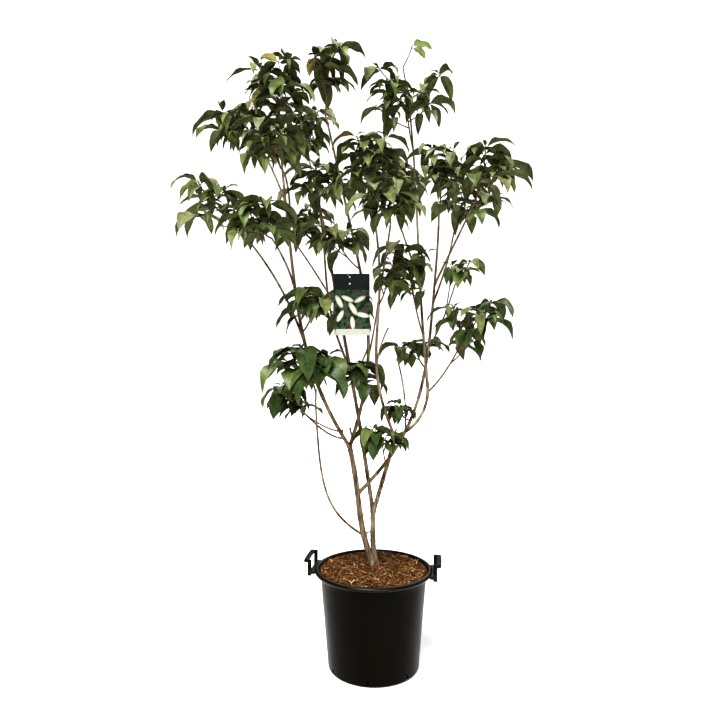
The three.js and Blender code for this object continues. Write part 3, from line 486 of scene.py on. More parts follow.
# Each limb's name, the limb that it springs from and where along it, its tip, bow and sway, and
# its thickness at foot and tip, in millimetres. A stem has the place of its own foot instead.
LIMBS = [
    ("stem_left", [3, 42, 316], None, [-85, 0, 755], [-9, 4, 0], [-6, 1, 0], [21, 16]),
    ("stem_right", [13, 46, 316], None, [0, 35, 520], [-7, 3, 0], [-1, 0, 0], [18.5, 15.5]),
    ("bough_middle", "stem_right", 0.95, [-200, 60, 1645], [6, 60, 0], [2, -4, -1], [14, 7.2]),
    ("bough_right", "stem_right", 0.95, [75, -45, 800], [2, -5, -2], [0, 2, 1], [14.8, 12.4]),
    ("bough_crossing", "stem_left", 0.6, [240, 20, 1585], [104, 43, -35], [16, -21, -13], [11.8, 5.6]),
    ("bough_right_upper", "bough_right", 0.97, [190, -30, 965], [30, -9, -21], [-1, -2, -3], [10.4, 8.4]),
    ("leader", "bough_right_upper", 0.98, [135, 110, 2100], [5, 29, -4], [-4, 2, -1], [8.4, 4.4]),
    ("bough_centre", "bough_right", 0.97, [0, -120, 1555], [-24, -7, -8], [-20, -6, -4], [9.2, 5.2]),
    ("bough_left", "stem_left", 0.98, [-325, -80, 1820], [-60, -43, -23], [-12, -5, -8], [12.6, 5.6]),
    ("bough_centre_left", "stem_left", 0.98, [-175, -20, 1950], [89, 46, 0], [21, 7, -4], [11.8, 5.2]),
    ("bough_rear_left", "bough_middle", 0.45, [-240, 260, 1800], [-19, 15, -10], [-14, 3, -5], [8, 4.8]),
    ("bough_far_left", "bough_left", 0.36, [-530, -120, 1565], [31, 5, 21], [0, -2, -2], [7.2, 4.4]),
    ("bough_front_left", "bough_left", 0.52, [-330, -230, 1445], [2, 18, 16], [1, 2, 0], [6.4, 4.4]),
    ("bough_rear_side", "bough_middle", 0.64, [-295, 230, 1505], [0, -10, 5], [0, 1, -1], [6.4, 4.4]),
    ("shoot_low_left", "stem_left", 0.26, [-195, -110, 955], [-64, -7, -32], [-10, -2, -11], [7.2, 5.4]),
    ("bough_right_rear", "bough_crossing", 0.7, [330, 250, 1565], [8, -3, -1], [0, 0, 0], [6.4, 4.4]),
    ("bough_right_outer", "bough_crossing", 0.76, [340, -90, 1580], [2, 7, 3], [1, 5, 2], [6.8, 4.4]),
    ("bough_upper_left", "bough_left", 0.8, [-430, 40, 1865], [6, 0, 3], [-1, -3, 1], [5.6, 4.4]),
    ("bough_front_upper", "bough_left", 0.69, [-285, -270, 1645], [9, 2, 2], [-1, 0, 0], [6, 4.4]),
    ("bough_front_centre", "bough_centre", 0.66, [50, -270, 1485], [3, 7, 6], [0, 1, 1], [6, 4.4]),
    ("bough_rear_centre", "leader", 0.33, [95, 300, 1670], [1, 2, -1], [0, 0, 0], [6.8, 4.4]),
]
# Thin shoots without leaves of their own, and stubs left by the pruning knife: the limb that each
# springs from and where along it, its tip, its bow, and its thickness at foot and tip
SHOOTS = [
    ("bough_centre_left", 0.265, [19, 38, 1265], [4, 0, 4], [5.2, 3.6]),
    ("bough_centre", 0.335, [51, -81, 1165], [-4, 0, 6], [4.6, 3.4]),
    ("bough_crossing", 0.255, [87, 32, 1061], [12, 2, 0], [5.0, 3.6]),
    ("bough_left", 0.035, [-319, -12, 959], [16, -4, -46], [6.2, 4.4]),
    ("bough_middle", 0.24, [-26, 84, 806], [1, 0, 0], [8.4, 7.4]),
    ("bough_centre_left", 0.03, [-82, 7, 815], [-2, 0, 0], [6.6, 5.8]),
    ("bough_left", 0.03, [-108, -7, 809], [-3, 0, 0], [5.8, 5.0]),
    ("bough_right", 0.93, [80, -43, 816], [-2, 0, 0], [6.0, 5.2]),
    ("bough_right", 0.3, [34, -14, 612], [0, 0, 0], [3.6, 3.0]),
    ("stem_left", 0.27, [-4, 34, 446], [0, 0, 0], [4.0, 3.2]),
]


def limb_curve(limb, t):
    """Straight run from foot to tip, plus bow * 4t(1 - t) and sway * sin(2 pi t)."""
    t = np.asarray(t, float)[..., None]
    straight = limb["foot"] * (1 - t) + limb["tip"] * t
    return straight + limb["bow"] * 4 * t * (1 - t) + limb["sway"] * np.sin(2 * np.pi * t)


def limb_of(foot, tip, bow, sway=(0, 0, 0), thick=None, ground=False):
    """A limb's values by name, with its ends and bends as arrays."""
    limb = {"thick": thick, "ground": ground}
    for part, value in (("foot", foot), ("tip", tip), ("bow", bow), ("sway", sway)):
        limb[part] = np.array(value, float)
    limb["length"] = np.linalg.norm(limb["tip"] - limb["foot"])
    return limb


def bark_skin(limb, number):
    """Rings of a limb. The radius runs evenly from foot to tip and is swollen by a flare or collar
    at the foot, by a knuckle every hand's breadth, and by long shallow ridges that drift round it."""
    foot_thick, tip_thick = limb["thick"]
    rings = max(8, int(limb["length"] / BARK_RINGS_APART))
    sides = 20 if foot_thick > 10 else 14 if foot_thick > 5 else 10
    t = np.linspace(0, 1, rings)
    run = t * limb["length"]
    plain = BARK_PROUD + (foot_thick + (tip_thick - foot_thick) * t) / 2
    if limb["ground"]:
        plain = plain + BARK_FLARE[0] * np.exp(-run / BARK_FLARE[1])
    else:
        plain = plain * (1 + BARK_COLLAR[0] * np.exp(-((run / BARK_COLLAR[1]) ** 2)))
    apart = BARK_KNUCKLES_APART + 17 * math.sin(3.1 * number)
    phase = (run + 23 * number) % apart - apart / 2
    knuckle = BARK_KNUCKLE[0] * np.exp(-((phase / BARK_KNUCKLE[1]) ** 2)) * np.clip(run / 30, 0, 1)
    turn = np.arange(sides) * 2 * np.pi / sides
    drift = 0.018 * run[:, None] + number
    ridges = (
        0.034 * np.sin(3 * turn + drift)
        + 0.026 * np.sin(5 * turn - 1.7 * drift + 2)
        + 0.016 * np.sin(0.11 * run[:, None] + 2 * turn)
    )
    slim = np.clip(plain[:, None] / 6, 0.45, 1)
    radius = plain[:, None] * (1 + knuckle[:, None] + slim * ridges)
    ahead = limb["tip"] - limb["foot"]
    guide = (1, 0, 0) if abs(ahead[1]) > 0.8 * limb["length"] else (0, 1, 0)
    skin = swept(limb_curve(limb, t)[None], radius, radius, sides, guide)
    return skin * 0.001, bar_faces(1, rings, sides)


limbs = {}
for name, start, place, tip, bow, sway, thick in LIMBS:
    ground = place is None
    foot = start if ground else limb_curve(limbs[start], place)
    limbs[name] = limb_of(foot, tip, bow, sway, thick, ground)
bark_parts = [bark_skin(limb, number) for number, limb in enumerate(limbs.values())]
for number, (parent, place, tip, bow, thick) in enumerate(SHOOTS):
    shoot = limb_of(limb_curve(limbs[parent], place), tip, bow, thick=thick)
    bark_parts.append(bark_skin(shoot, number + 0.5))
wood = piece_from("stems_and_boughs", *joined(bark_parts), 60)

bark, tree, shader = surface("bark", BARK_BROWN, 0.8, 0.08)
streaks = sum_of(tree, "MULTIPLY", grain(tree, 110, 8, (1, 1, 0.16)), 0.62)
patches = sum_of(tree, "MULTIPLY", grain(tree, 24, 4, (1, 1, 0.5)), 0.38)
bark_stops = [(0.37, BARK_DEEP), (0.49, BARK_BROWN), (0.6, BARK_GREY), (0.74, BARK_PALE)]
painted(tree, shader, sum_of(tree, "ADD", streaks, patches), bark_stops)
relief(tree, shader, grain(tree, 210, 7, (1, 1, 0.2)), 0.7, 0.0012)
relief(tree, shader, grain(tree, 620, 3), 0.3, 0.0004)
wood.data.materials.append(bark)
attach(wood, "root")
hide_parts(*limbs)


# The twigs. Thin brown shoots of the last two years. Each mass of foliage has one stem off its
# bough, twigs spread from it by the same rule as the solids, side twigs, and a stalk to each leaf.
WOOD_STEP = 12
TWIG_CLEAR = 5
TWIG_RISE = 32
GOLDEN_ANGLE = 2.39996
PAIR_STEP = 7
LEAF_LENGTH = 112.0
LEADER_TIP = "leaves_leader_tip"
LEADER_TIP_LOST = 1
LEADER_TIP_SMALL = 2
CARD_CLEAR = 12
STEM_RADII = np.linspace(3.1, 2.2, 12)
NODE_SWELL = 1 + np.array([0.25, 0, 0, 0.1, 0, 0, 0.12, 0.3, 0.42])
TWIG_RADII = np.linspace(2.2, 1.5, 9) * NODE_SWELL
SIDE_RADII = np.linspace(1.4, 1.05, 9) * NODE_SWELL
STALK_RADII = np.array([0.95, 0.75, 0.65])
TWIG_DEEP = (70, 50, 34)
TWIG_BROWN = (84, 68, 48)
TWIG_RED = (96, 75, 54)
# Each mass's name, the bough that its stem springs from and where along it, its centre and half
# sizes in millimetres, its number of twigs, the turn of the first, and how large its leaves are
MASSES = [
    ("leaves_far_left", "bough_far_left", 1, [-555, -120, 1560], [120, 110, 145], 4, 180, 1),
    ("leaves_left_front", "bough_front_left", 1, [-385, -240, 1465], [125, 105, 107], 6, 330, 1),
    ("leaves_left_rear", "bough_rear_side", 1, [-290, 250, 1580], [125, 110, 112], 4, 20, 1),
    ("leaves_upper_left", "bough_upper_left", 1, [-505, 50, 1895], [130, 120, 130], 6, 10, 1),
    ("leaves_top_left", "bough_left", 1, [-335, -80, 1990], [152, 120, 130], 7, 320, 1),
    ("leaves_top_centre", "bough_centre_left", 1, [-165, -20, 2095], [100, 110, 135], 5, 20, 1),
    ("leaves_front_left", "bough_front_upper", 1, [-330, -290, 1710], [110, 110, 115], 6, 230, 1),
    ("leaves_rear_left", "bough_rear_left", 1, [-270, 280, 1970], [145, 120, 150], 5, 20, 1),
    ("leaves_left_centre", "bough_middle", 1, [-190, 50, 1680], [122, 110, 125], 5, 120, 1),
    ("leaves_centre_left", "bough_centre_left", 0.53, [-135, -70, 1460], [115, 90, 85], 3, 190, 1),
    ("leaves_centre_upper", "bough_centre", 1, [-12, -130, 1725], [130, 110, 120], 6, 170, 1),
    ("leaves_front_centre", "bough_front_centre", 1, [45, -290, 1530], [115, 110, 110], 5, 300, 1),
    ("leaves_rear_centre", "bough_rear_centre", 1, [80, 320, 1780], [155, 120, 130], 4, 60, 1),
    ("leaves_leader", "leader", 0.78, [120, 85, 2040], [200, 120, 140], 6, 200, 1),
    ("leaves_leader_tip", "leader", 1, [111, 122, 2219], [95, 95, 65], 1, -30, 1),
    ("leaves_right_inner", "bough_crossing", 1, [250, -10, 1725], [118, 110, 120], 5, 160, 1),
    ("leaves_right_outer", "bough_right_outer", 1, [390, -100, 1700], [125, 110, 128], 5, 120, 1),
    ("leaves_right_rear", "bough_right_rear", 1, [390, 270, 1680], [160, 120, 140], 5, 100, 1),
    ("leaves_right_middle", "leader", 0.16, [118, -40, 1380], [118, 90, 112], 4, 230, 1),
    ("leaves_right_low", "bough_right_upper", 0.9, [360, -20, 1195], [135, 100, 88], 4, 0, 0.9),
    ("leaves_right_side", "bough_crossing", 0.55, [305, -40, 1360], [85, 70, 62], 2, 0, 0.8),
    ("leaves_left_low_upper", "bough_left", 0.4, [-190, -160, 1225], [82, 80, 78], 3, 200, 1),
    ("leaves_left_low", "shoot_low_left", 1, [-212, -140, 1005], [118, 110, 115], 5, 240, 1),
    ("leaves_left_low_outer", "bough_left", 0.06, [-310, 0, 905], [65, 70, 90], 2, 150, 0.85),
    ("leaves_middle_low", "bough_centre_left", 0.3, [-75, -30, 965], [110, 80, 105], 3, 50, 0.85),
    ("leaves_low_fruit", "bough_crossing", 0.3, [95, -30, 852], [65, 60, 60], 2, 120, 0.6),
    ("leaves_lowest", "bough_right", 0.6, [25, -90, 780], [80, 60, 62], 2, 180, 0.7),
    ("leaves_low_right", "bough_crossing", 0.48, [160, 130, 1080], [130, 80, 62], 2, 0, 0.7),
    ("leaves_centre_lower", "bough_centre", 0.6, [45, -160, 1298], [88, 70, 58], 2, 60, 0.85),
    ("leaves_rear_low", "bough_rear_left", 0.3, [-80, 300, 1250], [85, 90, 115], 3, 150, 1),
]
LEAF_RECORD = [
    ("mass", int), ("twig", int), ("number", int), ("node", float, 3), ("heading", float, 3),
    ("pitch", float), ("bend", float), ("long", float), ("stalk", float),
]
mass_names = [mass[0] for mass in MASSES]
mass_centres = np.array([mass[3] for mass in MASSES], float)
mass_spreads = np.array([np.mean(mass[4]) for mass in MASSES])
wood_points = []
wood_radii = []
for limb in limbs.values():
    steps = np.linspace(0, 1, int(limb["length"] / WOOD_STEP) + 2)
    wood_points.append(limb_curve(limb, steps))
    wood_radii.append(np.linspace(*limb["thick"], len(steps)) / 2)
wood_points = np.concatenate(wood_points)
wood_radii = np.concatenate(wood_radii)


def dice(mass, twig, use):
    """A repeatable number from 0 to 1: the fraction of 43758.5453 * sin of a mixed sum."""
    value = math.sin(mass * 12.9898 + twig * 78.233 + use * 37.719) * 43758.5453
    return value - math.floor(value)


def unit(vector):
    """The vector at length 1."""
    return vector / np.linalg.norm(vector)


def in_space(points, m, clear=1.2):
    """True where points are nearer to mass m than to others, by distance squared less spread squared."""
    power = ((points[:, None] - mass_centres) ** 2).sum(-1) - mass_spreads**2
    other = power - power[:, m : m + 1]
    other[:, m] = 1e9
    apart = np.linalg.norm(mass_centres - mass_centres[m], axis=-1)
    return (other > 2 * clear * apart).all(axis=1)


def clear_of_wood(points, near):
    """True where points keep more than near millimetres from the bark of every limb."""
    gap = np.linalg.norm(points[:, None] - wood_points, axis=-1) - wood_radii
    return (gap > near).all(axis=1)


def has_room(ends, m):
    """True where both ends of a twig lie in mass m's space and clear of the wood."""
    return in_space(np.array(ends), m).all() and clear_of_wood(np.array(ends), TWIG_CLEAR).all()


def leaf_at(m, k, j, node, turn, pitch, bend, size):
    """Leaf j of twig k of mass m: its node, level heading, pitch, bend, length and stalk."""
    heading = (math.cos(turn), math.sin(turn), 0)
    return m, k, j, node, heading, pitch, bend, LEAF_LENGTH * size, 4 + 5 * size


def twig_leaves(m, k, middle, tip, size):
    """Two or three pairs of leaves, each pair a step nearer to the twig's middle and turned from the
    last, and a small pair at its tip. The dice vary how they turn, droop and grow."""
    away = unit(tip - middle)
    facing = math.atan2(away[1], away[0])
    pairs = 2 if np.linalg.norm(tip - middle) < 4 * PAIR_STEP else 3
    on_leader = mass_names[m] == LEADER_TIP
    found = []
    for j in range(2 * pairs + 2):
        if on_leader and j == LEADER_TIP_LOST:
            continue
        pair = j // 2
        if pair == pairs:
            node = tip
            turn = facing + math.pi * (0.1 + j % 2) + 1.2 * (dice(m, k, 70 + j) - 0.5)
            pitch = 0.5 + 0.5 * dice(m, k, 75 + j)
            bend = 1.2
            scale = 0.2 + 0.3 * dice(m, k, 80 + j)
        else:
            node = middle + away * PAIR_STEP / 2 if pair == 2 else tip - away * PAIR_STEP * (pair + 0.5)
            quarter = (0.25, 0.75, 0.5)[pair] + j % 2
            turn = facing + math.pi * quarter + 0.7 * (dice(m, k, 10 + j) - 0.5)
            droop = 0.4 + 0.5 * dice(m, k, 40 + j)
            bend = 0.9 + droop
            pitch = 0.05 - 0.55 * dice(m, k, 20 + j) - 0.58 * droop + bend / 2
            scale = 0.8 + 0.4 * dice(m, k, 30 + j)
        if on_leader:
            # These hold out straighter
            bend *= 0.7
            pitch += 0.1
        if on_leader and j == LEADER_TIP_SMALL:
            # This one hangs to the other side
            turn -= 2.3
            pitch -= 0.7
            scale *= 0.62
        found.append(leaf_at(m, k, j, node, turn, pitch, bend, scale * size))
    return found


def side_leaves(m, k, end, heading, swing, size):
    """Two pairs of leaves back from the end of a side twig, crossed, each drooping by the dice."""
    found = []
    for j in range(4):
        crossed = 0.28 + 0.5 * (j // 2) + j % 2
        turn = swing + math.pi * crossed + 0.8 * (dice(m, k, 60 + j) - 0.5)
        node = end - heading * PAIR_STEP * (0.3 + j // 2)
        bend = 1.1 + 0.5 * dice(m, k, 130 + j)
        pitch = -0.1 - 0.7 * dice(m, k, 110 + j) + bend / 2
        scale = 0.6 + 0.35 * dice(m, k, 150 + j)
        found.append(leaf_at(m, k, 20 + j, node, turn, pitch, bend, scale * size))
    return found


mass_stems = []
twigs = []
twig_masses = []
side_twigs = []
leaves = []
for m, (name, parent, place, centre, half, count, first_turn, size) in enumerate(MASSES):
    inner = np.maximum(np.array(half) - [50, 50, 40], [24, 24, 16])
    foot = limb_curve(limbs[parent], 0.985 if place == 1 else place)
    head = centre + np.array([0, 0, 0.3 * half[2]])
    stem = limb_of(foot, head, [0, 0, -0.1 * np.linalg.norm(head - foot)])
    mass_stems.append(limb_curve(stem, np.linspace(0, 1 - 0.3 / count, len(STEM_RADII))))
    for k in range(count):
        rank = (k + 0.5) / count
        height = 0.9 - 1.7 * rank
        azimuth = math.radians(first_turn) + GOLDEN_ANGLE * k
        wide = math.sqrt(max(0, 1 - height * height)) * (0.8 + 0.4 * dice(m, k, 1))
        tip = centre + inner * [wide * math.cos(azimuth), wide * math.sin(azimuth), height]
        tip[2] += TWIG_RISE
        start = limb_curve(stem, 1 - 0.6 * rank)
        length = np.linalg.norm(tip - start)
        middle = start * 0.45 + tip * 0.55 - [0, 0, 0.08 * length]
        if np.linalg.norm(tip - middle) < 2 * PAIR_STEP + 2 or not has_room([middle, tip], m):
            continue
        twigs.append([start, middle, tip])
        twig_masses.append(name)
        leaves += twig_leaves(m, k, middle, tip, size)
        if name == LEADER_TIP:
            continue
        share = 0.3 + 0.16 * dice(m, k, 50)
        root = start * (1 - share) + tip * share - [0, 0, 0.32 * length * share * (1 - share)]
        facing = math.atan2(tip[1] - middle[1], tip[0] - middle[0])
        swing = facing + (1 if k % 2 else -1) * (0.8 + 0.7 * dice(m, k, 52))
        lean = 0.25 + 0.5 * dice(m, k, 54)
        reach = (34 + 34 * dice(m, k, 56)) * size
        heading = np.array(
            [math.cos(lean) * math.cos(swing), math.cos(lean) * math.sin(swing), math.sin(lean)]
        )
        end = root + heading * reach
        if has_room([(root + end) / 2, end], m):
            side_twigs.append([root, (root + end) / 2 - [0, 0, 0.06 * reach], end])
            leaves += side_leaves(m, k, end, heading, swing, size)
leaves = np.array(leaves, dtype=LEAF_RECORD)


def pitched(heading, pitch):
    """Directions that rise from a level heading by a pitch p: heading * cos p, and sin p upward."""
    return heading * np.cos(pitch)[..., None] + [0, 0, 1] * np.sin(pitch)[..., None]


def leaf_midribs(leaves, t):
    """Midribs as curves in upright planes, from the ends of the stalks. The slope falls evenly by the
    bend b from the pitch p, so that the way out is (sin p - sin(p - b t)) / b and the height
    (cos(p - b t) - cos p) / b, times the leaf's length."""
    pitch = leaves["pitch"][:, None]
    bend = leaves["bend"][:, None]
    slope = pitch - bend * t
    out = (np.sin(pitch) - np.sin(slope)) / bend
    up = (np.cos(slope) - np.cos(pitch)) / bend
    roots = leaves["node"] + leaves["stalk"][:, None] * pitched(leaves["heading"], leaves["pitch"])
    runs = leaves["heading"][:, None] * out[..., None] + points_at(0, 0, up)
    return roots[:, None] + leaves["long"][:, None, None] * runs, slope


# Only leaves that stay in their own mass, near its solid, off the wood and off the label are kept
tries = leaf_midribs(leaves, np.array([0.35, 0.7, 1.0]))[0]
kept = np.ones(len(leaves), bool)
for m, name in enumerate(mass_names):
    mine = np.flatnonzero(leaves["mass"] == m)
    flat = tries[mine].reshape(-1, 3)
    low, high = (np.array(corner) * 1000 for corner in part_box(name))
    inside = ((flat > low - 12) & (flat < high + 12)).all(axis=1)
    fits = in_space(flat, m, 0.2) & inside & clear_of_wood(flat, 2)
    kept[mine] = fits.reshape(-1, 3).all(axis=1)
card_low, card_high = (np.array(corner) * 1000 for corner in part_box("label_card"))
x, y, z = np.moveaxis(tries, -1, 0)
over_card = (
    (x > card_low[0] - CARD_CLEAR) & (x < card_high[0] + CARD_CLEAR)
    & (z > card_low[2] - 5) & (z < card_high[2] + CARD_CLEAR) & (y < card_high[1] + 14)
)
# A few may hang well in front of the label's lower left corner
low_corner = (x < card_low[0] + 45) & (z < card_low[2] + 60) & (y < card_low[1] - CARD_CLEAR)
kept &= ~(over_card & ~low_corner).any(axis=1)
leaves = leaves[kept]
# Low on the plant, in the shade, they grow up to a sixth longer
shaded = np.clip((1500 - leaves["node"][:, 2]) / 500, 0, 1)
leaves["long"] *= 1 + 0.16 * shaded


def through(runs):
    """Curves of nine points through runs of three: parabolas that are at the middle one half way."""
    climb = np.linspace(0, 1, 9)[:, None]
    start, middle, end = np.moveaxis(np.array(runs)[:, :, None], 1, 0)
    hold = 2 * middle - (start + end) / 2
    return start * (1 - climb) ** 2 + hold * 2 * climb * (1 - climb) + end * climb**2


stalk_rise = pitched(leaves["heading"], leaves["pitch"]) * leaves["stalk"][:, None]
stalk_paths = leaves["node"][:, None] + stalk_rise[:, None] * np.array([-0.1, 0.5, 1.15])[:, None]
twig_guide = (0.22, 0.93, 0.29)
twig_points, twig_faces = joined(
    bars(paths, radii, radii, sides, twig_guide)
    for paths, radii, sides in (
        (np.array(mass_stems), STEM_RADII, 8),
        (through(twigs), TWIG_RADII, 6),
        (through(side_twigs), SIDE_RADII, 6),
        (stalk_paths, STALK_RADII, 4),
    )
)
twig_piece = piece_from("twigs", twig_points * 0.001, twig_faces, 60)

twig_bark, tree, shader = surface("twig_bark", TWIG_BROWN, 0.65, 0.15)
twig_stops = [(0.35, TWIG_DEEP), (0.5, TWIG_BROWN), (0.66, TWIG_RED)]
painted(tree, shader, grain(tree, 90, 4, (1, 1, 0.5)), twig_stops)
relief(tree, shader, grain(tree, 420, 4), 0.4, 0.0005)
twig_piece.data.materials.append(twig_bark)
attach(twig_piece, "root")


# The leaves. Opposite, pointed ovals a hand's breadth long, folded a little along the midrib,
# arching over and hanging at the tip, with arched veins. Green above and paler below.
LEAF_ROWS = np.array([0, 0.05, 0.13, 0.23, 0.34, 0.46, 0.58, 0.7, 0.81, 0.91, 1.0])
LEAF_COLUMNS = np.array([-1, -0.52, 0, 0.52, 1, 0.52, 0, -0.52])
LEAF_SKIN = 0.28 * np.array([0, 1, 1, 1, 0, -1, -1, -1])
# The darker greens, shade and deep, and the darker underside are painted shade dealt to low and inner
# leaves; tan, bronze and fresh are the leaves' own colours
LEAF_COLOURS = {
    # Painted shade: the darker underside for low and inner leaves
    "leaf_under_painted_shade": (70, 76, 45),
    "leaf_under": (81, 86, 57),
    "leaf_shade": (47, 60, 29),
    "leaf_deep": (71, 81, 42),
    "leaf_green": (87, 93, 56),
    "leaf_olive": (91, 93, 61),
    "leaf_fresh": (84, 94, 48),
    "leaf_tan": (158, 148, 88),
    "leaf_bronze": (112, 92, 48),
}
SINGLE_LEAVES = {
    "leaf_fresh": [("leaves_leader_tip", 0, 0), ("leaves_leader_tip", 0, 2), ("leaves_far_left", 0, 3)],
    "leaf_tan": [("leaves_top_left", 2, 5), ("leaves_top_left", 0, 23), ("leaves_top_centre", 1, 21)],
    "leaf_bronze": [("leaves_centre_upper", 0, 0), ("leaves_right_outer", 0, 0)],
}


def mixed(tree, factor, below, above):
    """One colour laid over another by a factor: above is a socket or an sRGB colour."""
    blend = tree.nodes.new("ShaderNodeMix")
    blend.data_type = "RGBA"
    tree.links.new(factor, blend.inputs["Factor"])
    tree.links.new(below, blend.inputs["A"])
    if isinstance(above, tuple):
        blend.inputs["B"].default_value = linear(above)
    else:
        tree.links.new(above, blend.inputs["B"])
    return blend.outputs["Result"]


def tinted(colour, times, more=0):
    """An sRGB colour with each part multiplied and then raised, to 255 at most."""
    return tuple(min(255, times * part + more) for part in colour)


def leaf_veins(tree):
    """1 on the midrib and side veins and 0 between. With x along the blade and y the share of the
    way from midrib to margin, (x - 0.3 y^1.5) * 8.5 is half past a whole number on a side vein."""
    blade = tree.nodes.new("ShaderNodeUVMap")
    blade.uv_map = "blade"
    parts = tree.nodes.new("ShaderNodeSeparateXYZ")
    tree.links.new(blade.outputs["UV"], parts.inputs["Vector"])
    across = sum_of(tree, "SUBTRACT", sum_of(tree, "MULTIPLY", parts.outputs["Y"], 2.0), 1.0)
    share = sum_of(tree, "ABSOLUTE", across)
    arched = sum_of(tree, "MULTIPLY", sum_of(tree, "POWER", share, 1.5), 0.3)
    run = sum_of(tree, "MULTIPLY", sum_of(tree, "SUBTRACT", parts.outputs["X"], arched), 8.5)
    past = sum_of(tree, "ABSOLUTE", sum_of(tree, "SUBTRACT", sum_of(tree, "FRACT", run), 0.5))
    side_vein = sum_of(tree, "MULTIPLY", sum_of(tree, "SUBTRACT", 0.13, past), 7.0, True)
    side_vein = sum_of(tree, "MULTIPLY", side_vein, sum_of(tree, "SUBTRACT", 1.15, share), True)
    midrib = sum_of(tree, "MULTIPLY", sum_of(tree, "SUBTRACT", 0.09, share), 14.0, True)
    return sum_of(tree, "MAXIMUM", side_vein, midrib)


# Shade, deep, green or olive by height and by the dealt colour of the spray, darker inside it. This is
# painted shade and light: higher leaves are dealt lighter greens and lower ones darker, and inner leaves,
# on side twigs, in third pairs and in a few sprays, a step darker, as shade in the crown; the dealt colour
# of the spray adds its own random tone.
own = leaves["mass"] * 1.7 + leaves["twig"] * 5.3 + leaves["number"] * 2.9
spray = np.sin(leaves["mass"] * 4.1 + leaves["twig"] * 2.3 + 1.7) * 0.5 + 0.5
spray = spray + 0.14 * np.sin(own * 11)
inner = (leaves["number"] >= 20) | (leaves["number"] // 2 == 2) | (spray < 0.12)
painted_light_and_tone = np.searchsorted([1150, 1430], leaves["node"][:, 2]) + np.searchsorted([0.45, 0.94], spray)
shades = list(LEAF_COLOURS)
shade, deep, olive, fresh = (shades.index("leaf_" + kind) for kind in ("shade", "deep", "olive", "fresh"))
# Painted shade and light: inner leaves a step darker, leaves higher up the plant lighter
leaf_colour = np.clip(shade + painted_light_and_tone - inner, shade, olive)
for kind, picked in SINGLE_LEAVES.items():
    for name, k, j in picked:
        one = (leaves["mass"] == mass_names.index(name)) & (leaves["twig"] == k) & (leaves["number"] == j)
        leaf_colour[one] = shades.index(kind)
# Tan and bronze leaves are the same on both sides, and the lighter greens are lighter below; the darker
# greens of the painted shade get the darker underside, which is painted shade too
leaf_back = np.where(leaf_colour > fresh, leaf_colour, leaf_colour > deep)

# Fresh leaves are the broadest, folded least, and tipped to one side instead of twisted
young = leaf_colour == fresh
fold = (0.34 + 0.44 * np.sin(own * 7.7) ** 2 * ~young)[:, None, None]
roll = np.where(young, 1.1 * leaves["heading"][:, 0], 0.35 * np.sin(own * 3.1))
twist = 0.5 * np.sin(own * 5.9) * ~young
broad = leaves["long"] * (0.205 + 0.03 * np.sin(own * 9.1) + 0.07 * shaded + 0.1 * young)
ribs, slopes = leaf_midribs(leaves, LEAF_ROWS)
level = points_at(-leaves["heading"][:, 1], leaves["heading"][:, 0], 0.0)[:, None]
upward = np.cross(pitched(leaves["heading"][:, None], slopes), level)
bank = (roll[:, None] + twist[:, None] * LEAF_ROWS)[..., None]
aside = level * np.cos(bank) + upward * np.sin(bank)
above = upward * np.cos(bank) - level * np.sin(bank)
outline = (LEAF_ROWS + 0.004) ** 0.88 * (1.012 - LEAF_ROWS) ** 1.24
half_width = broad[:, None] * (outline / outline.max())
out = half_width[..., None] * LEAF_COLUMNS
ripple = np.sin(own[:, None] + 13 * LEAF_ROWS) * 0.16 * half_width
lift = np.abs(out) * np.sin(fold) * (1 - 0.35 * np.abs(LEAF_COLUMNS))
lift = lift + ripple[..., None] * LEAF_COLUMNS**3 + LEAF_SKIN
spread = aside[:, :, None] * (out * np.cos(fold))[..., None]
leaf_points = ribs[:, :, None] + spread + above[:, :, None] * lift[..., None]

leaf_finishes = []
for name, colour in LEAF_COLOURS.items():
    under = "under" in name
    finish, tree, shader = surface(name, colour, 0.7 if under else 0.42, 0.06 if under else 0.2)
    veins = leaf_veins(tree)
    clouds = [(0.3, tinted(colour, 0.72)), (0.52, colour), (0.74, tinted(colour, 1.16, 4))]
    blade_colour = dealt(tree, grain(tree, 34, 5), clouds)
    vein_share = sum_of(tree, "MULTIPLY", veins, 0.5)
    veined = mixed(tree, vein_share, blade_colour, tinted(colour, 1.24, 14))
    tree.links.new(veined, shader.inputs["Base Color"])
    relief(tree, shader, veins, 0.6 if under else -0.6, 0.0018)
    relief(tree, shader, grain(tree, 260, 3), 0.18, 0.0006)
    leaf_finishes.append(finish)

# True for the quads of a leaf's upper skin and of its closed ends
top_quads = np.append(np.tile([1, 1, 1, 1, 0, 0, 0, 0], len(LEAF_ROWS) - 1), np.ones(6)).astype(bool)
blade_uv = points_at(LEAF_ROWS[:, None], (LEAF_COLUMNS + 1) / 2).reshape(-1, 2)
# Two pieces, to keep each light: the left of the crown, and its right with all that hangs low
on_right = leaves["mass"] >= mass_names.index("leaves_front_centre")
for name, side in (("foliage_left", False), ("foliage_right", True)):
    mine = np.flatnonzero(on_right == side)
    faces = bar_faces(len(mine), len(LEAF_ROWS), len(LEAF_COLUMNS))
    # The under skin's quads start a corner later, so that both skins split along the same diagonals
    faces = np.where(np.tile(top_quads, len(mine))[:, None], faces, np.roll(faces, -1, axis=1))
    piece = piece_from(name, leaf_points[mine] * 0.001, faces, 34)
    for finish in leaf_finishes:
        piece.data.materials.append(finish)
    index = np.where(top_quads, leaf_colour[mine][:, None], leaf_back[mine][:, None])
    piece.data.polygons.foreach_set("material_index", index.astype(np.int32).ravel())
    layer = piece.data.uv_layers.new(name="blade")
    corner_uv = np.tile(blade_uv, (len(mine), 1))[faces.ravel()]
    layer.data.foreach_set("uv", corner_uv.astype(np.float32).ravel())
    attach(piece, "root")
    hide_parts(*(mass_names[m] for m in np.unique(leaves["mass"][mine])))


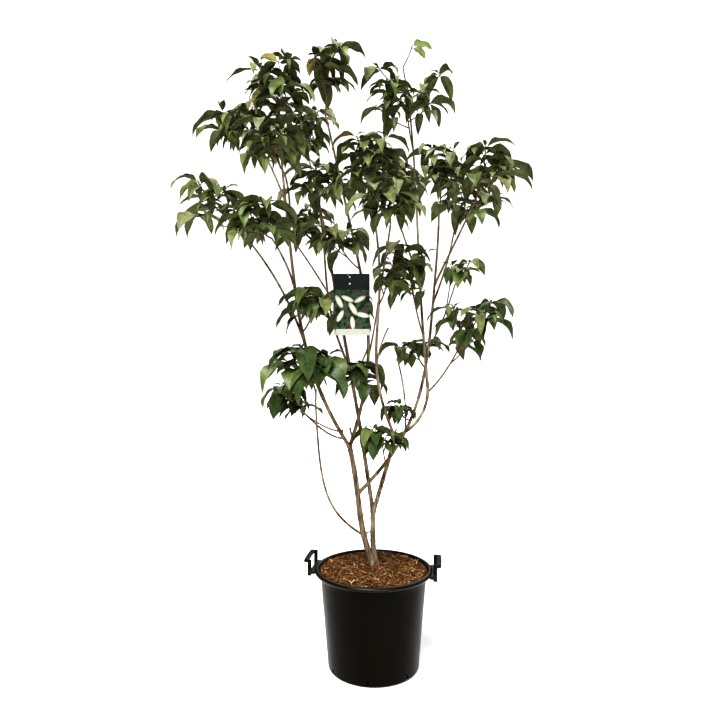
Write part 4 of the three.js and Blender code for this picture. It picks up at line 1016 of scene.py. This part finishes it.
# The fruit. A single unripe one, green and round as a marble, knobbed all over with the ends
# of the small fruits it is grown together from, and held up on a thin stalk.
FRUIT_RADIUS = 0.0078
FRUIT_KNOBS = 9
FRUIT_KNOB_HEIGHT = 0.05
FRUIT_FROM_TWIG = [0.008, -0.004, 0.017]
FRUIT_STALK_RADIUS = 0.0008
FRUIT_ROWS = 25
FRUIT_COLUMNS = 36
FRUIT_DEEP = (38, 52, 24)
FRUIT_GREEN = (54, 70, 34)
FRUIT_PALE = (82, 92, 52)

fruit_foot = twigs[twig_masses.index("leaves_low_fruit")][2] * 0.001
fruit_centre = fruit_foot + FRUIT_FROM_TWIG
polar = np.linspace(-np.pi / 2, np.pi / 2, FRUIT_ROWS)
round_it = np.arange(FRUIT_COLUMNS) * 2 * np.pi / FRUIT_COLUMNS
knobs = np.cos(FRUIT_KNOBS * round_it) * np.cos(FRUIT_KNOBS * polar)[:, None]
ball = turned(points_at(FRUIT_RADIUS * np.cos(polar), FRUIT_RADIUS * np.sin(polar)), FRUIT_COLUMNS)
ball = ball * (1 + FRUIT_KNOB_HEIGHT * knobs[..., None]) + fruit_centre
stalk_bow = (fruit_foot + fruit_centre) / 2 + [0.003, 0, 0.001]
stalk_path = through([[fruit_foot - [0, 0, 0.003], stalk_bow, fruit_centre]])
fruit_parts = [
    (ball, wrapped_faces(FRUIT_ROWS, FRUIT_COLUMNS)),
    bars(stalk_path, FRUIT_STALK_RADIUS, FRUIT_STALK_RADIUS, 8),
]
fruit = piece_from("fruit", *joined(fruit_parts), 60)
closed_poles(fruit)
fruit_skin, tree, shader = surface("fruit_skin", (52, 68, 34), 0.5, 0.2)
fruit_stops = [(0.35, FRUIT_DEEP), (0.55, FRUIT_GREEN), (0.75, FRUIT_PALE)]
painted(tree, shader, grain(tree, 420, 3), fruit_stops)
relief(tree, shader, grain(tree, 600, 2), 0.3, 0.0006)
fruit.data.materials.clear()
fruit.data.materials.append(fruit_skin)
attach(fruit, "root")


# The label. A plastic card printed in colours: a black-green band with two punched holes on top,
# a picture of plain cream ovals on mottled green in the middle, and a bare pale strip at the foot.
LABEL_BAND = (10, 22, 15)
LABEL_BAND_BOTTOM = 0.052
LABEL_STRIP = (166, 166, 158)
LABEL_STRIP_TOP = -0.088
LABEL_MOTTLE = [
    (0.34, (8, 14, 9)),
    (0.46, (24, 44, 26)),
    (0.54, (48, 84, 56)),
    (0.62, (70, 40, 46)),
    (0.74, (14, 20, 14)),
]
LABEL_CREAM = [(0.0, (150, 150, 122)), (0.4, (190, 186, 172)), (1.0, (204, 201, 190))]
LABEL_PICTURE_HEIGHT = -0.02
# Each oval's place across and up from the picture's middle, its lean in degrees and its half length
LABEL_OVALS = [
    (-0.044, 0.030, 62, 0.026),
    (-0.014, 0.040, 24, 0.024),
    (-0.040, -0.022, 118, 0.024),
    (0.006, 0.004, 58, 0.027),
    (0.030, 0.038, -28, 0.023),
    (0.040, -0.018, 12, 0.025),
    (0.004, -0.046, 84, 0.024),
]
LABEL_OVAL_SLIM = 0.36

label_middle = (card_low + card_high) / 2000
label_print, tree, shader = surface("label_print", LABEL_BAND, 0.3, 0.12)
picture = dealt(tree, grain(tree, 62, 6), LABEL_MOTTLE)
place = tree.nodes.new("ShaderNodeTexCoord")
for oval_x, oval_z, lean, reach in LABEL_OVALS:
    oval = tree.nodes.new("ShaderNodeMapping")
    oval.vector_type = "TEXTURE"
    oval.inputs["Location"].default_value = label_middle + [oval_x, 0, LABEL_PICTURE_HEIGHT + oval_z]
    oval.inputs["Rotation"].default_value = (0, math.radians(lean), 0)
    oval.inputs["Scale"].default_value = (reach, 1, LABEL_OVAL_SLIM * reach)
    inward = tree.nodes.new("ShaderNodeTexGradient")
    inward.gradient_type = "SPHERICAL"
    tree.links.new(place.outputs["Object"], oval.inputs["Vector"])
    tree.links.new(oval.outputs["Vector"], inward.inputs["Vector"])
    inside = sum_of(tree, "MULTIPLY", inward.outputs["Fac"], 18.0, True)
    picture = mixed(tree, inside, picture, dealt(tree, inward.outputs["Fac"], LABEL_CREAM))
height = own_height(tree)
in_band = sum_of(tree, "GREATER_THAN", height, float(label_middle[2] + LABEL_BAND_BOTTOM))
picture = mixed(tree, in_band, picture, LABEL_BAND)
in_strip = sum_of(tree, "LESS_THAN", height, float(label_middle[2] + LABEL_STRIP_TOP))
picture = mixed(tree, in_strip, picture, LABEL_STRIP)
tree.links.new(picture, shader.inputs["Base Color"])
relief(tree, shader, grain(tree, 30, 2), 0.1, 0.002)
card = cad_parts["label_card"]
card.data.materials.clear()
card.data.materials.append(label_print)


# The loop. A clear plastic strap through the upper hole of the label, over its top edge and
# round the bough behind it, so that the label hangs from the bough.
LOOP_WIRE = 0.0009
LOOP_RISE = 0.010
LOOP_STEPS = 72
LOOP_SIDES = 8
LOOP_HOLE = (-0.006, -0.0006, -0.012)
LOOP_MIDDLE = 0.495
LOOP_HALF = 0.665

hole = np.array([label_middle[0], card_high[1] / 1000, card_high[2] / 1000]) + LOOP_HOLE
card_end = hole + [0, 0, LOOP_RISE]
loop_bough = limbs["bough_centre_left"]
bough_rise = loop_bough["tip"][2] - loop_bough["foot"][2]
loop_place = (card_end[2] * 1000 - loop_bough["foot"][2]) / bough_rise
across = limb_curve(loop_bough, loop_place) / 1000 - card_end
level_way = unit(np.cross([0, 0, 1], across))
round_turn = np.arange(LOOP_STEPS) * 2 * np.pi / LOOP_STEPS
share = LOOP_MIDDLE - LOOP_HALF * np.cos(round_turn)
held = np.clip(share, 0, 1)[:, None]
spread_way = np.array([0, 0, 1.48 * LOOP_RISE]) * (1 - held) + level_way * 1.2 * LOOP_RISE * held
loop_line = card_end + across * share[:, None] + spread_way * np.sin(round_turn)[:, None]
loop_ahead = np.roll(loop_line, -1, axis=0) - np.roll(loop_line, 1, axis=0)
loop_ahead /= np.linalg.norm(loop_ahead, axis=-1, keepdims=True)
loop_out = loop_line - (card_end + across * LOOP_MIDDLE)
loop_out -= loop_ahead * (loop_out * loop_ahead).sum(-1, keepdims=True)
loop_out /= np.linalg.norm(loop_out, axis=-1, keepdims=True)
loop_beside = np.cross(loop_ahead, loop_out)
wire_turn = np.arange(LOOP_SIDES) * 2 * np.pi / LOOP_SIDES
loop_ring = (
    loop_line[:, None]
    + loop_out[:, None] * (LOOP_WIRE * np.cos(wire_turn))[:, None]
    + loop_beside[:, None] * (LOOP_WIRE * np.sin(wire_turn))[:, None]
)
loop_faces = wrapped_faces(LOOP_STEPS + 1, LOOP_SIDES) % (LOOP_STEPS * LOOP_SIDES)
loop = piece_from("label_strap", loop_ring, loop_faces)
strap, tree, shader = surface("clear_strap", (214, 220, 220), 0.18, 0.6)
shader.inputs["Transmission Weight"].default_value = 0.55
shader.inputs["IOR"].default_value = 1.46
relief(tree, shader, grain(tree, 500, 2), 0.2, 0.0004)
loop.data.materials.append(strap)
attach(loop, "root")
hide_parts("label_loop")


# The studio. A plain pale floor, a high key light, a low fill light and one from behind, all broad
# and soft, and a camera at about half the plant's height, two metres in front and tipped up a little.
FLOOR_HALF = 14
FLOOR_DROP = 0.0004
ROOM_LIGHT = 0.1
CAMERA_PLACE = (-0.0465, -2.143, 1.056)
CAMERA_LENS = 30.095
CAMERA_TILT = 92.8
CAMERA_SHIFT = -30 / 720

floor_points = np.array([[-1, -1, 0], [1, -1, 0], [1, 1, 0], [-1, 1, 0]]) * FLOOR_HALF - [0, 0, FLOOR_DROP]
floor = piece_from("studio_floor", floor_points, [[0, 1, 2, 3]])
floor_paint, tree, shader = surface("studio_floor", (236, 236, 235), 0.9, 0.0)
painted(tree, shader, grain(tree, 0.6, 3), [(0.3, (235, 235, 234)), (0.7, (237, 237, 236))])
floor.data.materials.append(floor_paint)
floor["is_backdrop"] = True

world = bpy.data.worlds.new("studio")
bpy.context.scene.world = world
world.use_nodes = True
sky = world.node_tree.nodes
sky["Background"].inputs["Color"].default_value = (1.0, 1.0, 1.0, 1.0)
seen = sky.new("ShaderNodeMapRange")
seen.inputs["To Min"].default_value = ROOM_LIGHT
seen.inputs["To Max"].default_value = 1.0
world.node_tree.links.new(sky.new("ShaderNodeLightPath").outputs["Is Camera Ray"], seen.inputs["Value"])
world.node_tree.links.new(seen.outputs["Result"], sky["Background"].inputs["Strength"])


def lamp_far(name, where, power, spread):
    """A sun lamp that shines from a place towards the origin, its disc spread over some degrees."""
    lamp = bpy.data.lights.new(name, "SUN")
    lamp.energy = power
    lamp.angle = math.radians(spread)
    stand = bpy.data.objects.new(name, lamp)
    down = math.atan2(math.hypot(where[0], where[1]), where[2])
    stand.rotation_euler = (down, 0, math.atan2(where[0], -where[1]))
    bpy.context.scene.collection.objects.link(stand)


lamp_far("key_light", (-0.45, -0.9, 1.6), 5.6, 30)
lamp_far("fill_light", (0.3, -1.3, 0.5), 2.1, 40)
lamp_far("back_light", (0.3, 1.0, 1.2), 1.8, 60)

camera = bpy.data.cameras.new("camera")
camera.sensor_width = 36
camera.lens = CAMERA_LENS
camera.shift_y = CAMERA_SHIFT
view = bpy.data.objects.new("camera", camera)
view.location = CAMERA_PLACE
view.rotation_euler = (math.radians(CAMERA_TILT), 0, 0)
bpy.context.scene.collection.objects.link(view)
bpy.context.scene.camera = view
bpy.context.scene.view_settings.view_transform = "Standard"
bpy.context.scene.view_settings.look = "High Contrast"

low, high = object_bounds()
